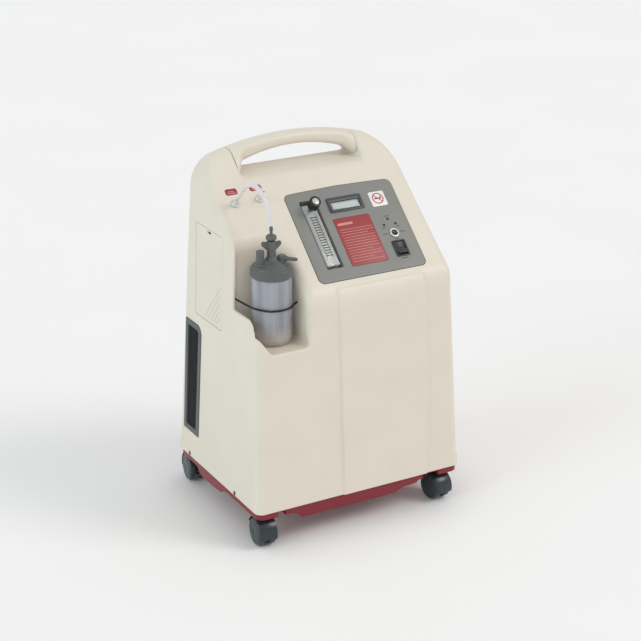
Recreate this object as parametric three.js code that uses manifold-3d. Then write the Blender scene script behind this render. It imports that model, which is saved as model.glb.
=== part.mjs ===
// Oxygen concentrator on four twin-wheel casters, with a bubble humidifier bottle.
// Millimetres, +Z up, the control panel faces -Y, +X is to the right of someone facing it.
// The origin is on the floor, under the middle of the whole object's box.
import * as THREE from 'three';
import { mergeVertices } from 'three/addons/utils/BufferGeometryUtils.js';
import Module from 'manifold-3d';

const wasm = await Module();
wasm.setup();

// ---------------------------------------------------------------- driving dimensions
const BODY_W = 400;            // width of the covers at their lower edge
const BODY_D = 312;            // depth of the covers at their lower edge
const HEIGHT = 635;            // floor to the top of the handle
const WALL = 3;                // wall of the moulded covers
const SIDE_DRAFT = 0.0373;     // lean of each wall, per millimetre of height
const FRONT_DRAFT = 0.0524;
const REAR_DRAFT = 0.0638;
const FRONT_CORNER_R = 14;
const REAR_CORNER_R = 12;
const BAND_H = 21;             // thicker band along the covers' lower edge
const BAND_STEP = 1.2;
const CROWN_R = 518;           // arch of the top, seen from the front
const SHOULDER_R = 35;
const SLOPE_ANGLE = THREE.MathUtils.degToRad(42);
const BEND_R = 25;             // round between the front and the slope
const CREST_DROP = 19;         // top of the slope below the top of the handle
const CREST_DEPTH = 38;        // top of the slope in front of the rear wall's top
const PARTING = 9;             // rear cover's depth, from the rear wall forward
const SEAM = 0.4;              // gap between the two covers
const FIT = 0.4;               // gap round a piece that sits in an opening
const GAP = 0.3;               // gap under a piece that rests on another

const PAD_LEFT = -34.5;        // raised zone of the front wall
const PAD_RIGHT = 129.6;
const PAD_PROUD = 3.5;
const PAD_RAMP = 6;

const WHEEL_D = 49;
const WHEEL_W = 12;
const WHEEL_INNER_GAP = 9;     // space between the two wheels of a caster
const AXLE_D = 6;
const TRAIL = 20;              // wheel axle behind the swivel axis
const CASTER_LEFT_X = 176;
const CASTER_RIGHT_X = 164;
const CASTER_FRONT_Y = -110;
const CASTER_REAR_Y = 125;
const HOOD_PROUD = 2.6;        // hood outside the wheels' tread
const STEM_D = 11;
const STEM_L = 24;
const TRAY_GAP = 6;            // wheel top to the tray's corner plate
const TRAY_EDGE = 11;          // height of the tray's skirt below the covers
const TUB_DROP = 13;           // tub below the skirt
const TUB_STEP = 7;            // its shallow right end above its floor
const TUB_X = { topLeft: -139, footLeft: -114, footRight: 69, stepLeft: 86, stepRight: 112, topRight: 123 };
const TUB_Y = { topFront: -42, footFront: -9, lowFront: 22, lowRear: 70, topRear: 100 };
const TRAY_WALL = 3;
const TRAY_INSET = 3;
const SKIRT_GAPS = [[-160, -146], [124, 156]];   // where the skirt's front edge is left out
const SKIRT_GAP_DEPTH = 16;
const SKIRT_GAP_ROOF = 2.4;
const BOSS_WALL = 7;           // round a caster's socket

const SCOOP_HALF = 117;        // hand opening under the handle
const SCOOP_DROP = 53;         // its floor below the top of the handle
const HANDLE_D = 36;
const HANDLE_END_H = 31;
const HANDLE_MID_H = 20;
const HANDLE_R = 6;
const TONGUE_L = 16;
const TONGUE_R = 3;

const RECESS_W = 108;          // bottle recess, from the left wall's foot inward
const RECESS_DEPTH = 113;      // from the front wall's foot to the recess's back
const RECESS_DROP = 78;        // its floor below the bend
const RECESS_R = 38;
const RECESS_SLANT = 17;       // slanted edge between its right wall and the slope
const RECESS_SLANT_END = 92;   // how far up the slope that edge runs
const CRADLE_RISE = 53;        // side rim above the recess floor
const RIM_LEVEL_L = 50;        // its level stretch, then a step and a ramp down to the front
const RIM_STEP = 17;
const RIM_RAMP = 28;
const LIP = 7;                 // side wall's edge in front of the recess's back

const JAR_D = 67;
const JAR_H = 113;
const JAR_WALL = 2;
const JAR_NECK_INSET = 4;      // its threaded neck, inside the lid's band
const JAR_NECK_H = 10;
const JAR_AIR = 5.5;           // jar to the recess's right and back walls
const LID_BAND_H = 15;
const LID_DOME_H = 15;
const NECK_D = 14.6;
const NECK_H = 12;
const RELIEF = { dx: -21, dy: -1, d: 13, h: 26, sink: 4 };    // relief valve's cap, on the left
const OUTLET = { dx: 17, dy: -3, d: 14, h: 18, nozzleUp: 12.5, nozzleL: 27, turn: -50 };
const NUT_H = 16;
const WING_SPAN = 33;
const STEM_TUBE_D = 7;
const NIPPLE_D = 5.2;

const PANEL = { x0: -59.5, x1: 145.4, s0: 27.4, s1: 199, peak: 205, r: 10 };
const PANEL_T = 2.4;
const PANEL_PROUD = 0.8;
const PANEL_LEDGE = 7;
const WELL = { x0: -37.5, x1: -5.5, s0: 50.5, s1: 183, depth: 15, wall: 1.6 };
const BLOCK = { x0: -35, x1: -10, s0: 57, s1: 175, r: 1.5 };
const FLOAT_D = 6.8;
const FLOAT_BORE_D = 8;
const FLOAT_TRAVEL = 78;
const KNOB_D = 20;
const KNOB_H = 16;
const KNOB_STANDOFF = 13;
const KNOB_S = 165;
const LCD = { x: 44.7, s: 166, w: 66.5, h: 28.5, winW: 55, winH: 15.6, winS: 164.3, rim: 2 };
const PLATE = { x0: 9.4, x1: 79, s0: 48, s1: 140, r: 3 };
const PICTOGRAM = { x0: 93.5, x1: 123.5, s0: 150, s1: 179, r: 1 };
const PLATE_T = 1;
const LED_D = 4;
const LED_SPOTS = [[109.7, 123.6], [98.3, 113.3], [120.6, 112.6]];
const RESET = { x: 110.4, s: 95.4, d: 17.6, bore: 10.8 };
const RESET_BUTTON_D = 10;
const RESET_BARREL_D = 13;
const SLEEVE_WALL = 1.2;       // the switch housing's sleeve
const ROCKER = { x: 109.8, s: 65.2, w: 25, h: 30.5, cavityW: 18.6, cavityH: 26.4, tilt: 8 };
const PORT_X = [-148.5, -102.5];
const PORT_S = [200, 202];
const PORT_D = 15;
const PORT_L = 22;

const DOOR = { y0: -10, y1: 90, z0: 343, z1: 505, r: 4 };
const DOOR_T = 2.2;
const FILTER = { top: 323, bottom: 114, front: [66, 75], rear: [127, 133], border: 10 };
const FILTER_PROUD = 1.2;
const FOAM_T = 9;
const INLET = { x: 120, z: 122, w: 32, h: 50 };
const GRILLE = { x: -60, z: 200, w: 130, h: 130 };
const FAN_D = 112;

// Inside pieces: places in plan, and heights above the deck.
const DECK = { x0: -154, x1: 150, y0: -118, rearGap: 34, t: 2 };
const COMPRESSOR = { x: 10, y: -40, d: 100, h: 120, headD: 62, headReach: 78, headUp: 82, footH: 20 };
const SIEVE = { x: [-12, 92], y: 62, d: 72, capD: 80, capH: 9, h: 250, portH: 12 };
const TANK = { x: 122, y: -50, d: 56, h: 180, portH: 12 };
const VALVES = { x0: -30, x1: 110, depth: 36, h: 26, coilD: 20, coilH: 32, coilX: [-10, 30, 70] };
const INTAKE = { x: -125, y: 20, d: 60, h: 60, up: 130 };
const BOARD = { left: 52, right: 44, s0: 62, s1: 176, down: 30, t: 1.6 };

// ---------------------------------------------------------------- derived levels
const BASE_Z = WHEEL_D + TRAY_GAP + TRAY_EDGE;
const TOP_LIMIT = HEIGHT + 10;
const OUTSIDE = 300;           // reach of a cutting shape beyond the object
const sideX = (z) => BODY_W / 2 - SIDE_DRAFT * (z - BASE_Z);
const frontY = (z) => -BODY_D / 2 + FRONT_DRAFT * (z - BASE_Z);
const rearY = (z) => BODY_D / 2 - REAR_DRAFT * (z - BASE_Z);
const CREST = { y: rearY(HEIGHT) - CREST_DEPTH, z: HEIGHT - CREST_DROP };
const slopeZ = (y) => CREST.z - (CREST.y - y) * Math.tan(SLOPE_ANGLE);
const BEND = bendPoint(0, 0);
const RECESS_FLOOR = BEND.z - RECESS_DROP;
const RECESS_X = -BODY_W / 2 + RECESS_W;
const RECESS_Y = -BODY_D / 2 + RECESS_DEPTH;
const RIM_Z = RECESS_FLOOR + CRADLE_RISE;
const SCOOP_FLOOR = HEIGHT - SCOOP_DROP;
const BOTTLE = {
  x: RECESS_X - JAR_AIR - JAR_D / 2,
  y: RECESS_Y - JAR_AIR - JAR_D / 2,
  z: RECESS_FLOOR + 2,
};
const LID_Z = BOTTLE.z + JAR_H;
const DOME_Z = LID_Z + LID_BAND_H;
const NECK_Z = DOME_Z + LID_DOME_H;
const NUT_Z = NECK_Z + NECK_H + GAP;
const COLLAR_Z = NUT_Z + NUT_H + 3;
const STEM_TOP = COLLAR_Z + 22;

// Where the slope, moved in by `inset`, meets the front wall, moved out by `proud`.
function bendPoint(inset, proud) {
  const slopeDrop = inset / Math.cos(SLOPE_ANGLE);
  const frontShift = inset - proud;
  const k = Math.tan(SLOPE_ANGLE);
  const z0 = CREST.z - CREST.y * k - slopeDrop;
  const y0 = -BODY_D / 2 - FRONT_DRAFT * BASE_Z + frontShift;
  const y = (y0 + FRONT_DRAFT * z0) / (1 - FRONT_DRAFT * k);
  return { y, z: z0 + k * y };
}

// ---------------------------------------------------------------- shapes and solids
// A closed outline through corners [x, y, radius]; a radius of 0 or none keeps a corner sharp.
function outline(corners) {
  const shape = new THREE.Shape();
  corners.forEach(([x, y, radius = 0], i) => {
    const here = new THREE.Vector2(x, y);
    const before = new THREE.Vector2(...corners.at(i - 1).slice(0, 2)).sub(here).normalize();
    const after = new THREE.Vector2(...corners[(i + 1) % corners.length].slice(0, 2)).sub(here).normalize();
    if (radius <= 0) {
      if (i === 0) shape.moveTo(x, y);
      else shape.lineTo(x, y);
      return;
    }
    const half = Math.acos(THREE.MathUtils.clamp(before.dot(after), -1, 1)) / 2;
    const run = radius / Math.tan(half);
    const middle = before.clone().add(after).normalize().multiplyScalar(radius / Math.sin(half)).add(here);
    const start = before.clone().multiplyScalar(run).add(here);
    const end = after.clone().multiplyScalar(run).add(here);
    if (i === 0) shape.moveTo(start.x, start.y);
    else shape.lineTo(start.x, start.y);
    const clockwise = before.cross(after) > 0;
    const a0 = Math.atan2(start.y - middle.y, start.x - middle.x);
    const a1 = Math.atan2(end.y - middle.y, end.x - middle.x);
    shape.absarc(middle.x, middle.y, radius, a0, a1, clockwise);
  });
  shape.closePath();
  return shape;
}

function rectangle(x0, y0, x1, y1, r = 0) {
  return outline([[x0, y0, r], [x1, y0, r], [x1, y1, r], [x0, y1, r]]);
}

// A closed three.js geometry as a manifold solid.
function solid(geometry) {
  const bare = geometry.clone();
  bare.deleteAttribute('normal');
  bare.deleteAttribute('uv');
  const merged = mergeVertices(bare, 1e-4);
  const index = merged.index.array;
  const kept = [];
  for (let i = 0; i < index.length; i += 3) {
    const [a, b, c] = index.slice(i, i + 3);
    if (a !== b && b !== c && c !== a) kept.push(a, b, c);
  }
  const vertProperties = new Float32Array(merged.attributes.position.array);
  const triVerts = new Uint32Array(kept);
  return new wasm.Manifold(new wasm.Mesh({ numProp: 3, vertProperties, triVerts }));
}

function geometryOf(body) {
  const mesh = body.getMesh();
  const geometry = new THREE.BufferGeometry();
  geometry.setAttribute('position', new THREE.BufferAttribute(new Float32Array(mesh.vertProperties), 3));
  geometry.setIndex(new THREE.BufferAttribute(new Uint32Array(mesh.triVerts), 1));
  geometry.computeVertexNormals();
  return geometry;
}

const moved = (body, matrix) => body.transform(matrix.elements);
const shifted = (body, x, y, z) => moved(body, new THREE.Matrix4().makeTranslation(x, y, z));
const join = (...bodies) => bodies.reduce((sum, body) => sum.add(body));
const cut = (body, ...tools) => tools.reduce((rest, tool) => rest.subtract(tool), body);

function extruded(shape, depth, segments) {
  return new THREE.ExtrudeGeometry(shape, { depth, bevelEnabled: false, curveSegments: segments });
}

// Prisms of a flat shape: (x, y) up Z, (y, z) along X, and (x, z) along Y.
function alongZ(shape, z0, z1, segments = 3) {
  return solid(extruded(shape, z1 - z0, segments).translate(0, 0, z0));
}

function alongX(shape, x0, x1, segments = 3) {
  const turn = new THREE.Matrix4().makeBasis(
    new THREE.Vector3(0, 1, 0), new THREE.Vector3(0, 0, 1), new THREE.Vector3(1, 0, 0));
  return solid(extruded(shape, x1 - x0, segments).applyMatrix4(turn).translate(x0, 0, 0));
}

function alongY(shape, y0, y1, segments = 3) {
  const turn = new THREE.Matrix4().makeBasis(
    new THREE.Vector3(1, 0, 0), new THREE.Vector3(0, 0, 1), new THREE.Vector3(0, -1, 0));
  return solid(extruded(shape, y1 - y0, segments).applyMatrix4(turn).translate(0, y1, 0));
}

function box(x0, y0, z0, x1, y1, z1) {
  const geometry = new THREE.BoxGeometry(x1 - x0, y1 - y0, z1 - z0);
  return solid(geometry.translate((x0 + x1) / 2, (y0 + y1) / 2, (z0 + z1) / 2));
}

// A turned solid about Z through (x, y); the profile is [radius, height] and ends on the axis.
function turned(profile, x = 0, y = 0, sides = 18) {
  const points = profile.map(([r, z]) => new THREE.Vector2(r, z));
  return solid(new THREE.LatheGeometry(points, sides).rotateX(Math.PI / 2).translate(x, y, 0));
}

function rod(d, z0, z1, x = 0, y = 0, sides = 16) {
  return turned([[0, z0], [d / 2, z0], [d / 2, z1], [0, z1]], x, y, sides);
}

// A turned ring: the profile closes on itself away from the axis.
function ring(outer, inner, z0, z1, x = 0, y = 0, sides = 18) {
  const [R, r] = [outer / 2, inner / 2];
  return turned([[r, z0], [R, z0], [R, z1], [r, z1], [r, z0]], x, y, sides);
}

function tube(points, d, sides, steps) {
  const path = new THREE.CatmullRomCurve3(points.map((p) => new THREE.Vector3(...p)));
  const section = new THREE.Shape();
  for (let i = 0; i < sides; i += 1) {
    const a = (2 * Math.PI * i) / sides;
    const [x, y] = [(d / 2) * Math.cos(a), (d / 2) * Math.sin(a)];
    if (i === 0) section.moveTo(x, y);
    else section.lineTo(x, y);
  }
  return solid(new THREE.ExtrudeGeometry(section, { steps, extrudePath: path, bevelEnabled: false }));
}

// Frames on the slope, the left wall and the rear wall: x and y in the wall, z out of it.
const slopeFrame = new THREE.Matrix4().makeRotationX(SLOPE_ANGLE).setPosition(0, BEND.y, BEND.z);
const wallTurn = Math.atan(SIDE_DRAFT);
const leftFrame = new THREE.Matrix4().makeBasis(
  new THREE.Vector3(0, -1, 0),
  new THREE.Vector3(Math.sin(wallTurn), 0, Math.cos(wallTurn)),
  new THREE.Vector3(-Math.cos(wallTurn), 0, Math.sin(wallTurn)),
).setPosition(-BODY_W / 2 + BAND_STEP, 0, BASE_Z);
const rearTurn = Math.atan(REAR_DRAFT);
const rearFrame = new THREE.Matrix4().makeBasis(
  new THREE.Vector3(-1, 0, 0),
  new THREE.Vector3(0, -Math.sin(rearTurn), Math.cos(rearTurn)),
  new THREE.Vector3(0, Math.cos(rearTurn), Math.sin(rearTurn)),
).setPosition(0, BODY_D / 2 - BAND_STEP, BASE_Z);
const onSlope = (body) => moved(body, slopeFrame);
const onLeft = (body) => moved(body, leftFrame);
const onRear = (body) => moved(body, rearFrame);
const upLeft = (z) => (z - BASE_Z) / Math.cos(wallTurn);
const upRear = (z) => (z - BASE_Z) / Math.cos(rearTurn);

// ---------------------------------------------------------------- materials
function material(color, roughness, metalness = 0, opacity = 1) {
  return new THREE.MeshStandardMaterial({
    color, roughness, metalness, opacity, transparent: opacity < 1,
  });
}

const LOOK = {
  shell: () => material(0xdbd1c3, 0.45),
  tray: () => material(0x7d2330, 0.5),
  panel: () => material(0x858580, 0.5),
  plateRed: () => material(0x9e3e3e, 0.5),
  plateWhite: () => material(0xe8e4e0, 0.5),
  black: () => material(0x161616, 0.4),
  darkGrey: () => material(0x33373a, 0.5),
  lidGrey: () => material(0x696c6b, 0.45),
  caster: () => material(0x323e42, 0.4),
  clear: () => material(0xdfe6ea, 0.1, 0, 0.35),
  jar: () => material(0xaaacb2, 0.3, 0, 0.5),
  chrome: () => material(0xd0d0d0, 0.15, 1),
  steel: () => material(0x9a9c9e, 0.35, 1),
  aluminium: () => material(0xb4b7ba, 0.4, 1),
  screen: () => material(0xa9b1b0, 0.2),
  foam: () => material(0x15161a, 0.9),
  green: () => material(0x2c5a3c, 0.6),
};

const model = new THREE.Group();

function add(name, body, look, parent = model) {
  const mesh = new THREE.Mesh(geometryOf(body), look());
  mesh.name = name;
  parent.add(mesh);
  return mesh;
}

function framed(matrix) {
  const group = new THREE.Group();
  group.applyMatrix4(matrix);
  model.add(group);
  return group;
}

// ---------------------------------------------------------------- covers
// The drafted block: a rounded rectangle whose walls lean in as they rise.
function draftedBlock(inset, z0, z1) {
  const [x, y] = [BODY_W / 2 - inset, BODY_D / 2 - inset];
  const front = Math.max(FRONT_CORNER_R - inset, 1);
  const rear = Math.max(REAR_CORNER_R - inset, 1);
  const plan = outline([[-x, -y, front], [x, -y, front], [x, y, rear], [-x, y, rear]]);
  const geometry = extruded(plan, z1 - z0, 3).translate(0, 0, z0);
  const spots = geometry.attributes.position;
  for (let i = 0; i < spots.count; i += 1) {
    const z = spots.getZ(i);
    const yScale = spots.getY(i) < 0 ? (-frontY(z) - inset) / y : (rearY(z) - inset) / y;
    spots.setXY(i, (spots.getX(i) * (sideX(z) - inset)) / x, spots.getY(i) * yScale);
  }
  return solid(geometry);
}

// Everything below the slope and behind the bend. The front line starts `slack` outside the
// wall at its foot, so that only the round of the bend cuts it.
function underSlope(inset, proud) {
  const bend = bendPoint(inset, proud);
  const slack = 4;
  const k = Math.tan(SLOPE_ANGLE);
  const foot = -BODY_D / 2 + inset - proud - slack;
  const top = bend.y + (TOP_LIMIT - bend.z) / k;
  return outline([
    [foot, -OUTSIDE], [foot, BASE_Z], [bend.y, bend.z, BEND_R - inset],
    [top, TOP_LIMIT], [OUTSIDE + top, TOP_LIMIT], [OUTSIDE + top, -OUTSIDE],
  ]);
}

// Front view of the body: straight sides, round shoulders and the arched crown.
function frontView(inset) {
  const crown = CROWN_R - inset;
  const crownZ = HEIGHT - CROWN_R;
  const r = SHOULDER_R - inset;
  const reach = crown - r;
  const wall = BODY_W / 2 + SIDE_DRAFT * BASE_Z - inset - r;
  const a = 1 + SIDE_DRAFT * SIDE_DRAFT;
  const b = wall - SIDE_DRAFT * crownZ;
  const rise = (SIDE_DRAFT * b + Math.sqrt(a * reach * reach - b * b)) / a;
  const [cx, cz] = [b - SIDE_DRAFT * rise, crownZ + rise];
  const tilt = Math.atan(SIDE_DRAFT);
  const shape = new THREE.Shape();
  const side = (z) => wall + r - SIDE_DRAFT * z;
  const shoulder = Math.atan2(rise, cx);
  shape.moveTo(-side(-OUTSIDE), -OUTSIDE);
  shape.lineTo(side(-OUTSIDE), -OUTSIDE);
  shape.absarc(cx, cz, r, tilt, shoulder, false);
  shape.absarc(0, crownZ, crown, shoulder, Math.PI - shoulder, false);
  shape.absarc(-cx, cz, r, Math.PI - shoulder, Math.PI - tilt, false);
  shape.closePath();
  return shape;
}

function bodyBlock(inset, z0) {
  const block = draftedBlock(inset + BAND_STEP, z0, TOP_LIMIT);
  const slope = alongX(underSlope(inset, 0), -OUTSIDE, OUTSIDE, 3);
  const crown = alongY(frontView(inset), -OUTSIDE, OUTSIDE, 5);
  return block.intersect(slope).intersect(crown);
}

// The raised zone of the front wall, with slanted edges, running into the slope.
function raisedPad() {
  const [y0, y1] = [-BODY_D / 2, -BODY_D / 2 - PAD_PROUD + BAND_STEP];
  const plan = outline([
    [PAD_LEFT - PAD_RAMP, y0 + WALL], [PAD_LEFT - PAD_RAMP, y0 + BAND_STEP], [PAD_LEFT, y1],
    [PAD_RIGHT, y1], [PAD_RIGHT + PAD_RAMP, y0 + BAND_STEP], [PAD_RIGHT + PAD_RAMP, y0 + WALL],
  ]);
  const prism = extruded(plan, TOP_LIMIT - BASE_Z, 1);
  const shear = new THREE.Matrix4().makeShear(0, 0, 0, 0, 0, FRONT_DRAFT);
  prism.applyMatrix4(shear).translate(0, 0, BASE_Z);
  const limit = alongX(underSlope(0, PAD_PROUD - BAND_STEP), -OUTSIDE, OUTSIDE, 3);
  return solid(prism).intersect(limit);
}

// Space of the bottle recess inside the walls, grown by `wall` for the walls themselves.
function recessColumn(wall) {
  const z0 = RECESS_FLOOR - wall;
  const [x0, y0] = [-sideX(RECESS_FLOOR) + BAND_STEP + WALL, frontY(RECESS_FLOOR) + BAND_STEP + WALL];
  const lean = wall > 0 ? OUTSIDE : 0;
  const plan = outline([
    [x0 - lean, y0 - lean], [RECESS_X + wall, y0 - lean],
    [RECESS_X + wall, RECESS_Y + wall, RECESS_R + wall], [x0 - lean, RECESS_Y + wall],
  ]);
  return alongZ(plan, z0, TOP_LIMIT, 4);
}

// What the recess takes out of the left wall: a window with a stepped lower rim.
function recessSideWindow() {
  const back = RECESS_Y - LIP;
  const y1 = back - RIM_LEVEL_L;
  const window = outline([
    [back, RIM_Z, 4], [back, TOP_LIMIT], [-OUTSIDE, TOP_LIMIT], [-OUTSIDE, RIM_Z - RIM_STEP - RIM_RAMP],
    [y1 - 38, RIM_Z - RIM_STEP - 6, 20], [y1 - 26, RIM_Z - RIM_STEP, 14], [y1, RIM_Z, 16],
  ]);
  return alongX(window, -OUTSIDE, BOTTLE.x - JAR_D / 4, 3);
}

// What it takes out of the front wall: open down to the floor, with a rising left end.
function recessFrontWindow() {
  const left = -sideX(RECESS_FLOOR);
  const window = outline([
    [left - 20, RECESS_FLOOR + 24], [left + 19, RECESS_FLOOR + 13, 12], [left + 33, RECESS_FLOOR, 8],
    [RECESS_X, RECESS_FLOOR], [RECESS_X, TOP_LIMIT], [left - 20, TOP_LIMIT],
  ]);
  return alongY(window, -OUTSIDE, RECESS_Y - RECESS_DEPTH / 2, 3);
}

// The slanted edge where the recess's right wall runs into the slope, in the slope's own frame.
function recessSlant(wall) {
  const g = wall * Math.SQRT2;
  const reach = 40;
  const slant = outline([[RECESS_X - reach, -RECESS_SLANT - reach - g],
    [RECESS_X + RECESS_SLANT + reach, reach - g], [RECESS_X - reach, reach]]);
  return onSlope(alongY(slant, -60, RECESS_SLANT_END + wall));
}

const scoop = (grow) => box(-SCOOP_HALF - grow, CREST.y - OUTSIDE, SCOOP_FLOOR - grow,
  SCOOP_HALF + grow, OUTSIDE, TOP_LIMIT + 10);

// Outline of the handle seen from the front; tongues reach past the hand opening's ends.
function handleView(grow) {
  const crownZ = HEIGHT - CROWN_R;
  const end = SCOOP_HALF - GAP;
  const under = HEIGHT - HANDLE_MID_H;
  const sag = HANDLE_END_H - HANDLE_MID_H + (CROWN_R - Math.sqrt(CROWN_R ** 2 - end ** 2));
  const underR = (end * end + sag * sag) / (2 * sag);
  const lift = Math.asin(end / CROWN_R);
  const bow = Math.asin(end / underR);
  const topEnd = crownZ + CROWN_R * Math.cos(lift);
  const tongueTop = topEnd - WALL - 3 + grow;
  const tongueFoot = under - sag + 6 - grow;
  const reach = end + TONGUE_L + grow;
  const shape = new THREE.Shape();
  shape.moveTo(reach, tongueFoot);
  shape.lineTo(reach, tongueTop);
  shape.lineTo(end, tongueTop);
  shape.absarc(0, crownZ, CROWN_R, Math.PI / 2 - lift, Math.PI / 2 + lift, false);
  shape.lineTo(-end, tongueTop);
  shape.lineTo(-reach, tongueTop);
  shape.lineTo(-reach, tongueFoot);
  shape.lineTo(-end, tongueFoot);
  shape.absarc(0, under - underR, underR, Math.PI / 2 + bow, Math.PI / 2 - bow, true);
  shape.lineTo(end, tongueFoot);
  shape.closePath();
  return shape;
}

const HANDLE_Y1 = rearY(HEIGHT) - 2;
const HANDLE_Y0 = HANDLE_Y1 - HANDLE_D;

function handleSection(grow, half) {
  const r = half > SCOOP_HALF ? TONGUE_R : HANDLE_R;
  const shrink = half > SCOOP_HALF ? 5 : 0;
  const [y0, y1] = [HANDLE_Y0 + shrink - grow, HANDLE_Y1 - shrink + grow];
  const foot = HEIGHT - HANDLE_MID_H - HANDLE_END_H;
  return alongX(rectangle(y0, foot, y1, TOP_LIMIT, r), -half, half);
}

function carryHandle() {
  const view = alongY(handleView(0), HANDLE_Y0, HANDLE_Y1, 8);
  const grip = view.intersect(handleSection(0, SCOOP_HALF - GAP));
  const tongues = view.intersect(handleSection(0, SCOOP_HALF + TONGUE_L));
  return join(grip, tongues);
}

// Cutting shape for the tongues' sockets in the shoulders.
function handleSockets() {
  const view = alongY(handleView(FIT), HANDLE_Y0, HANDLE_Y1, 8);
  const reach = SCOOP_HALF + TONGUE_L + FIT;
  return view.intersect(handleSection(FIT, reach));
}

// The panel's outline on the slope, grown by `grow`.
function panelOutline(grow) {
  const middle = (PANEL.x0 + PANEL.x1) / 2;
  const archR = 1300;
  return outline([
    [PANEL.x0 - grow, PANEL.s0 - grow, PANEL.r + grow], [PANEL.x1 + grow, PANEL.s0 - grow, PANEL.r + grow],
    [PANEL.x1 + grow, PANEL.s1 + grow, PANEL.r + grow], [middle, PANEL.peak + grow, archR],
    [PANEL.x0 - grow, PANEL.s1 + grow, PANEL.r + grow],
  ]);
}

function slopeCuts() {
  const under = PANEL_PROUD - PANEL_T - GAP;
  const seat = alongZ(panelOutline(FIT), under, 20, 6);
  const hole = alongZ(panelOutline(-PANEL_LEDGE), -20, 20, 6);
  const ports = PORT_X.map((x, i) => rod(8 + 2 * FIT, -20, 20, x, PORT_S[i]));
  return onSlope(join(seat, hole, ...ports));
}

// The filter opening in the left wall: an outline in the wall's own x and y.
function filterOutline(grow) {
  const [top, foot] = [upLeft(FILTER.top) + grow, upLeft(FILTER.bottom) - grow];
  const [rearTop, rearFoot] = [-FILTER.rear[0] - grow, -FILTER.rear[1] - grow];
  const [frontTop, frontFoot] = [-FILTER.front[0] + grow, -FILTER.front[1] + grow];
  return outline([
    [rearTop, top, 3], [rearFoot, foot, 3], [frontFoot, foot, 3], [frontTop, top, 16 + grow],
  ]);
}

function doorOutline(grow) {
  return rectangle(-DOOR.y1 - grow, upLeft(DOOR.z0) - grow, -DOOR.y0 + grow, upLeft(DOOR.z1) + grow,
    DOOR.r + grow);
}

function sideCuts() {
  const filterSeat = alongZ(filterOutline(FIT), -FOAM_T - WALL, 20);
  const filterHole = alongZ(filterOutline(-FILTER.border), -40, 20);
  const doorSeat = alongZ(doorOutline(FIT), -DOOR_T - GAP, 20);
  const doorHole = alongZ(doorOutline(-8), -20, 20);
  return onLeft(join(filterSeat, filterHole, doorSeat, doorHole));
}

// Thicker wall behind the filter seat and the door seat, so that both have a ledge.
function sideBacking() {
  const filterBack = alongZ(filterOutline(4), -FOAM_T - 2 * WALL, -1);
  const doorBack = alongZ(doorOutline(4), -DOOR_T - WALL, -1);
  return onLeft(join(filterBack, doorBack));
}

// Both covers as one hollow body, before they are parted.
function coverBody() {
  const band = draftedBlock(0, BASE_Z, BASE_Z + BAND_H);
  const upper = bodyBlock(0, BASE_Z);
  const outer = cut(join(upper, band, raisedPad()), scoop(0));
  const hollow = cut(bodyBlock(WALL, BASE_Z - 20), scoop(WALL), recessColumn(WALL),
    recessSlant(WALL));
  const shell = cut(outer, cut(hollow, sideBacking()));
  const handleHoles = handleSockets();
  return cut(shell, recessColumn(0), recessSlant(0), recessSideWindow(), recessFrontWindow(),
    handleHoles, slopeCuts(), sideCuts());
}

// Everything in front of the parting plane, which leans with the rear wall.
function frontHalf(shift) {
  const at = (z) => rearY(z) - PARTING + shift;
  const side = outline([[-OUTSIDE, 0], [at(0), 0], [at(TOP_LIMIT + 20), TOP_LIMIT + 20],
    [-OUTSIDE, TOP_LIMIT + 20]]);
  return alongX(side, -OUTSIDE, OUTSIDE);
}

function rearOpenings() {
  const inlet = alongZ(rectangle(-INLET.x - INLET.w / 2 - FIT, upRear(INLET.z) - INLET.h / 2 - FIT,
    -INLET.x + INLET.w / 2 + FIT, upRear(INLET.z) + INLET.h / 2 + FIT, 2), -20, 20);
  const grille = alongZ(rectangle(-GRILLE.x - GRILLE.w / 2 - FIT, upRear(GRILLE.z) - GRILLE.h / 2 - FIT,
    -GRILLE.x + GRILLE.w / 2 + FIT, upRear(GRILLE.z) + GRILLE.h / 2 + FIT, 6), -20, 20);
  return onRear(join(inlet, grille));
}

// The bottle well: a moulding of its own that hangs inside the front cover's skin.
const wellZone = (inset) => join(recessColumn(WALL + 1), recessSlant(WALL + 1)).intersect(
  bodyBlock(inset, BASE_Z - 20));

function addCovers() {
  const whole = coverBody();
  add('front_cover', cut(whole.intersect(frontHalf(-SEAM / 2)), wellZone(WALL)), LOOK.shell);
  add('bottle_well', whole.intersect(wellZone(WALL + SEAM)), LOOK.shell);
  add('rear_cover', cut(whole, frontHalf(SEAM / 2), rearOpenings()), LOOK.shell);
  add('carry_handle', carryHandle(), LOOK.shell);
}

// ---------------------------------------------------------------- control panel
const panelTop = PANEL_PROUD;
const panelFoot = PANEL_PROUD - PANEL_T;
const centred = ({ x, s, w, h }, grow, r = 0) => rectangle(x - w / 2 - grow, s - h / 2 - grow,
  x + w / 2 + grow, s + h / 2 + grow, r);
const spanned = ({ x0, x1, s0, s1, r }, grow) => rectangle(x0 - grow, s0 - grow, x1 + grow, s1 + grow,
  Math.max(r + grow, 0));
const screenWindow = (grow) => centred({ x: LCD.x, s: LCD.winS, w: LCD.winW, h: LCD.winH }, grow);

const sleeveSize = {
  x: ROCKER.x, s: ROCKER.s, w: ROCKER.cavityW + 2 * SLEEVE_WALL, h: ROCKER.cavityH + 2 * SLEEVE_WALL,
};

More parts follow.
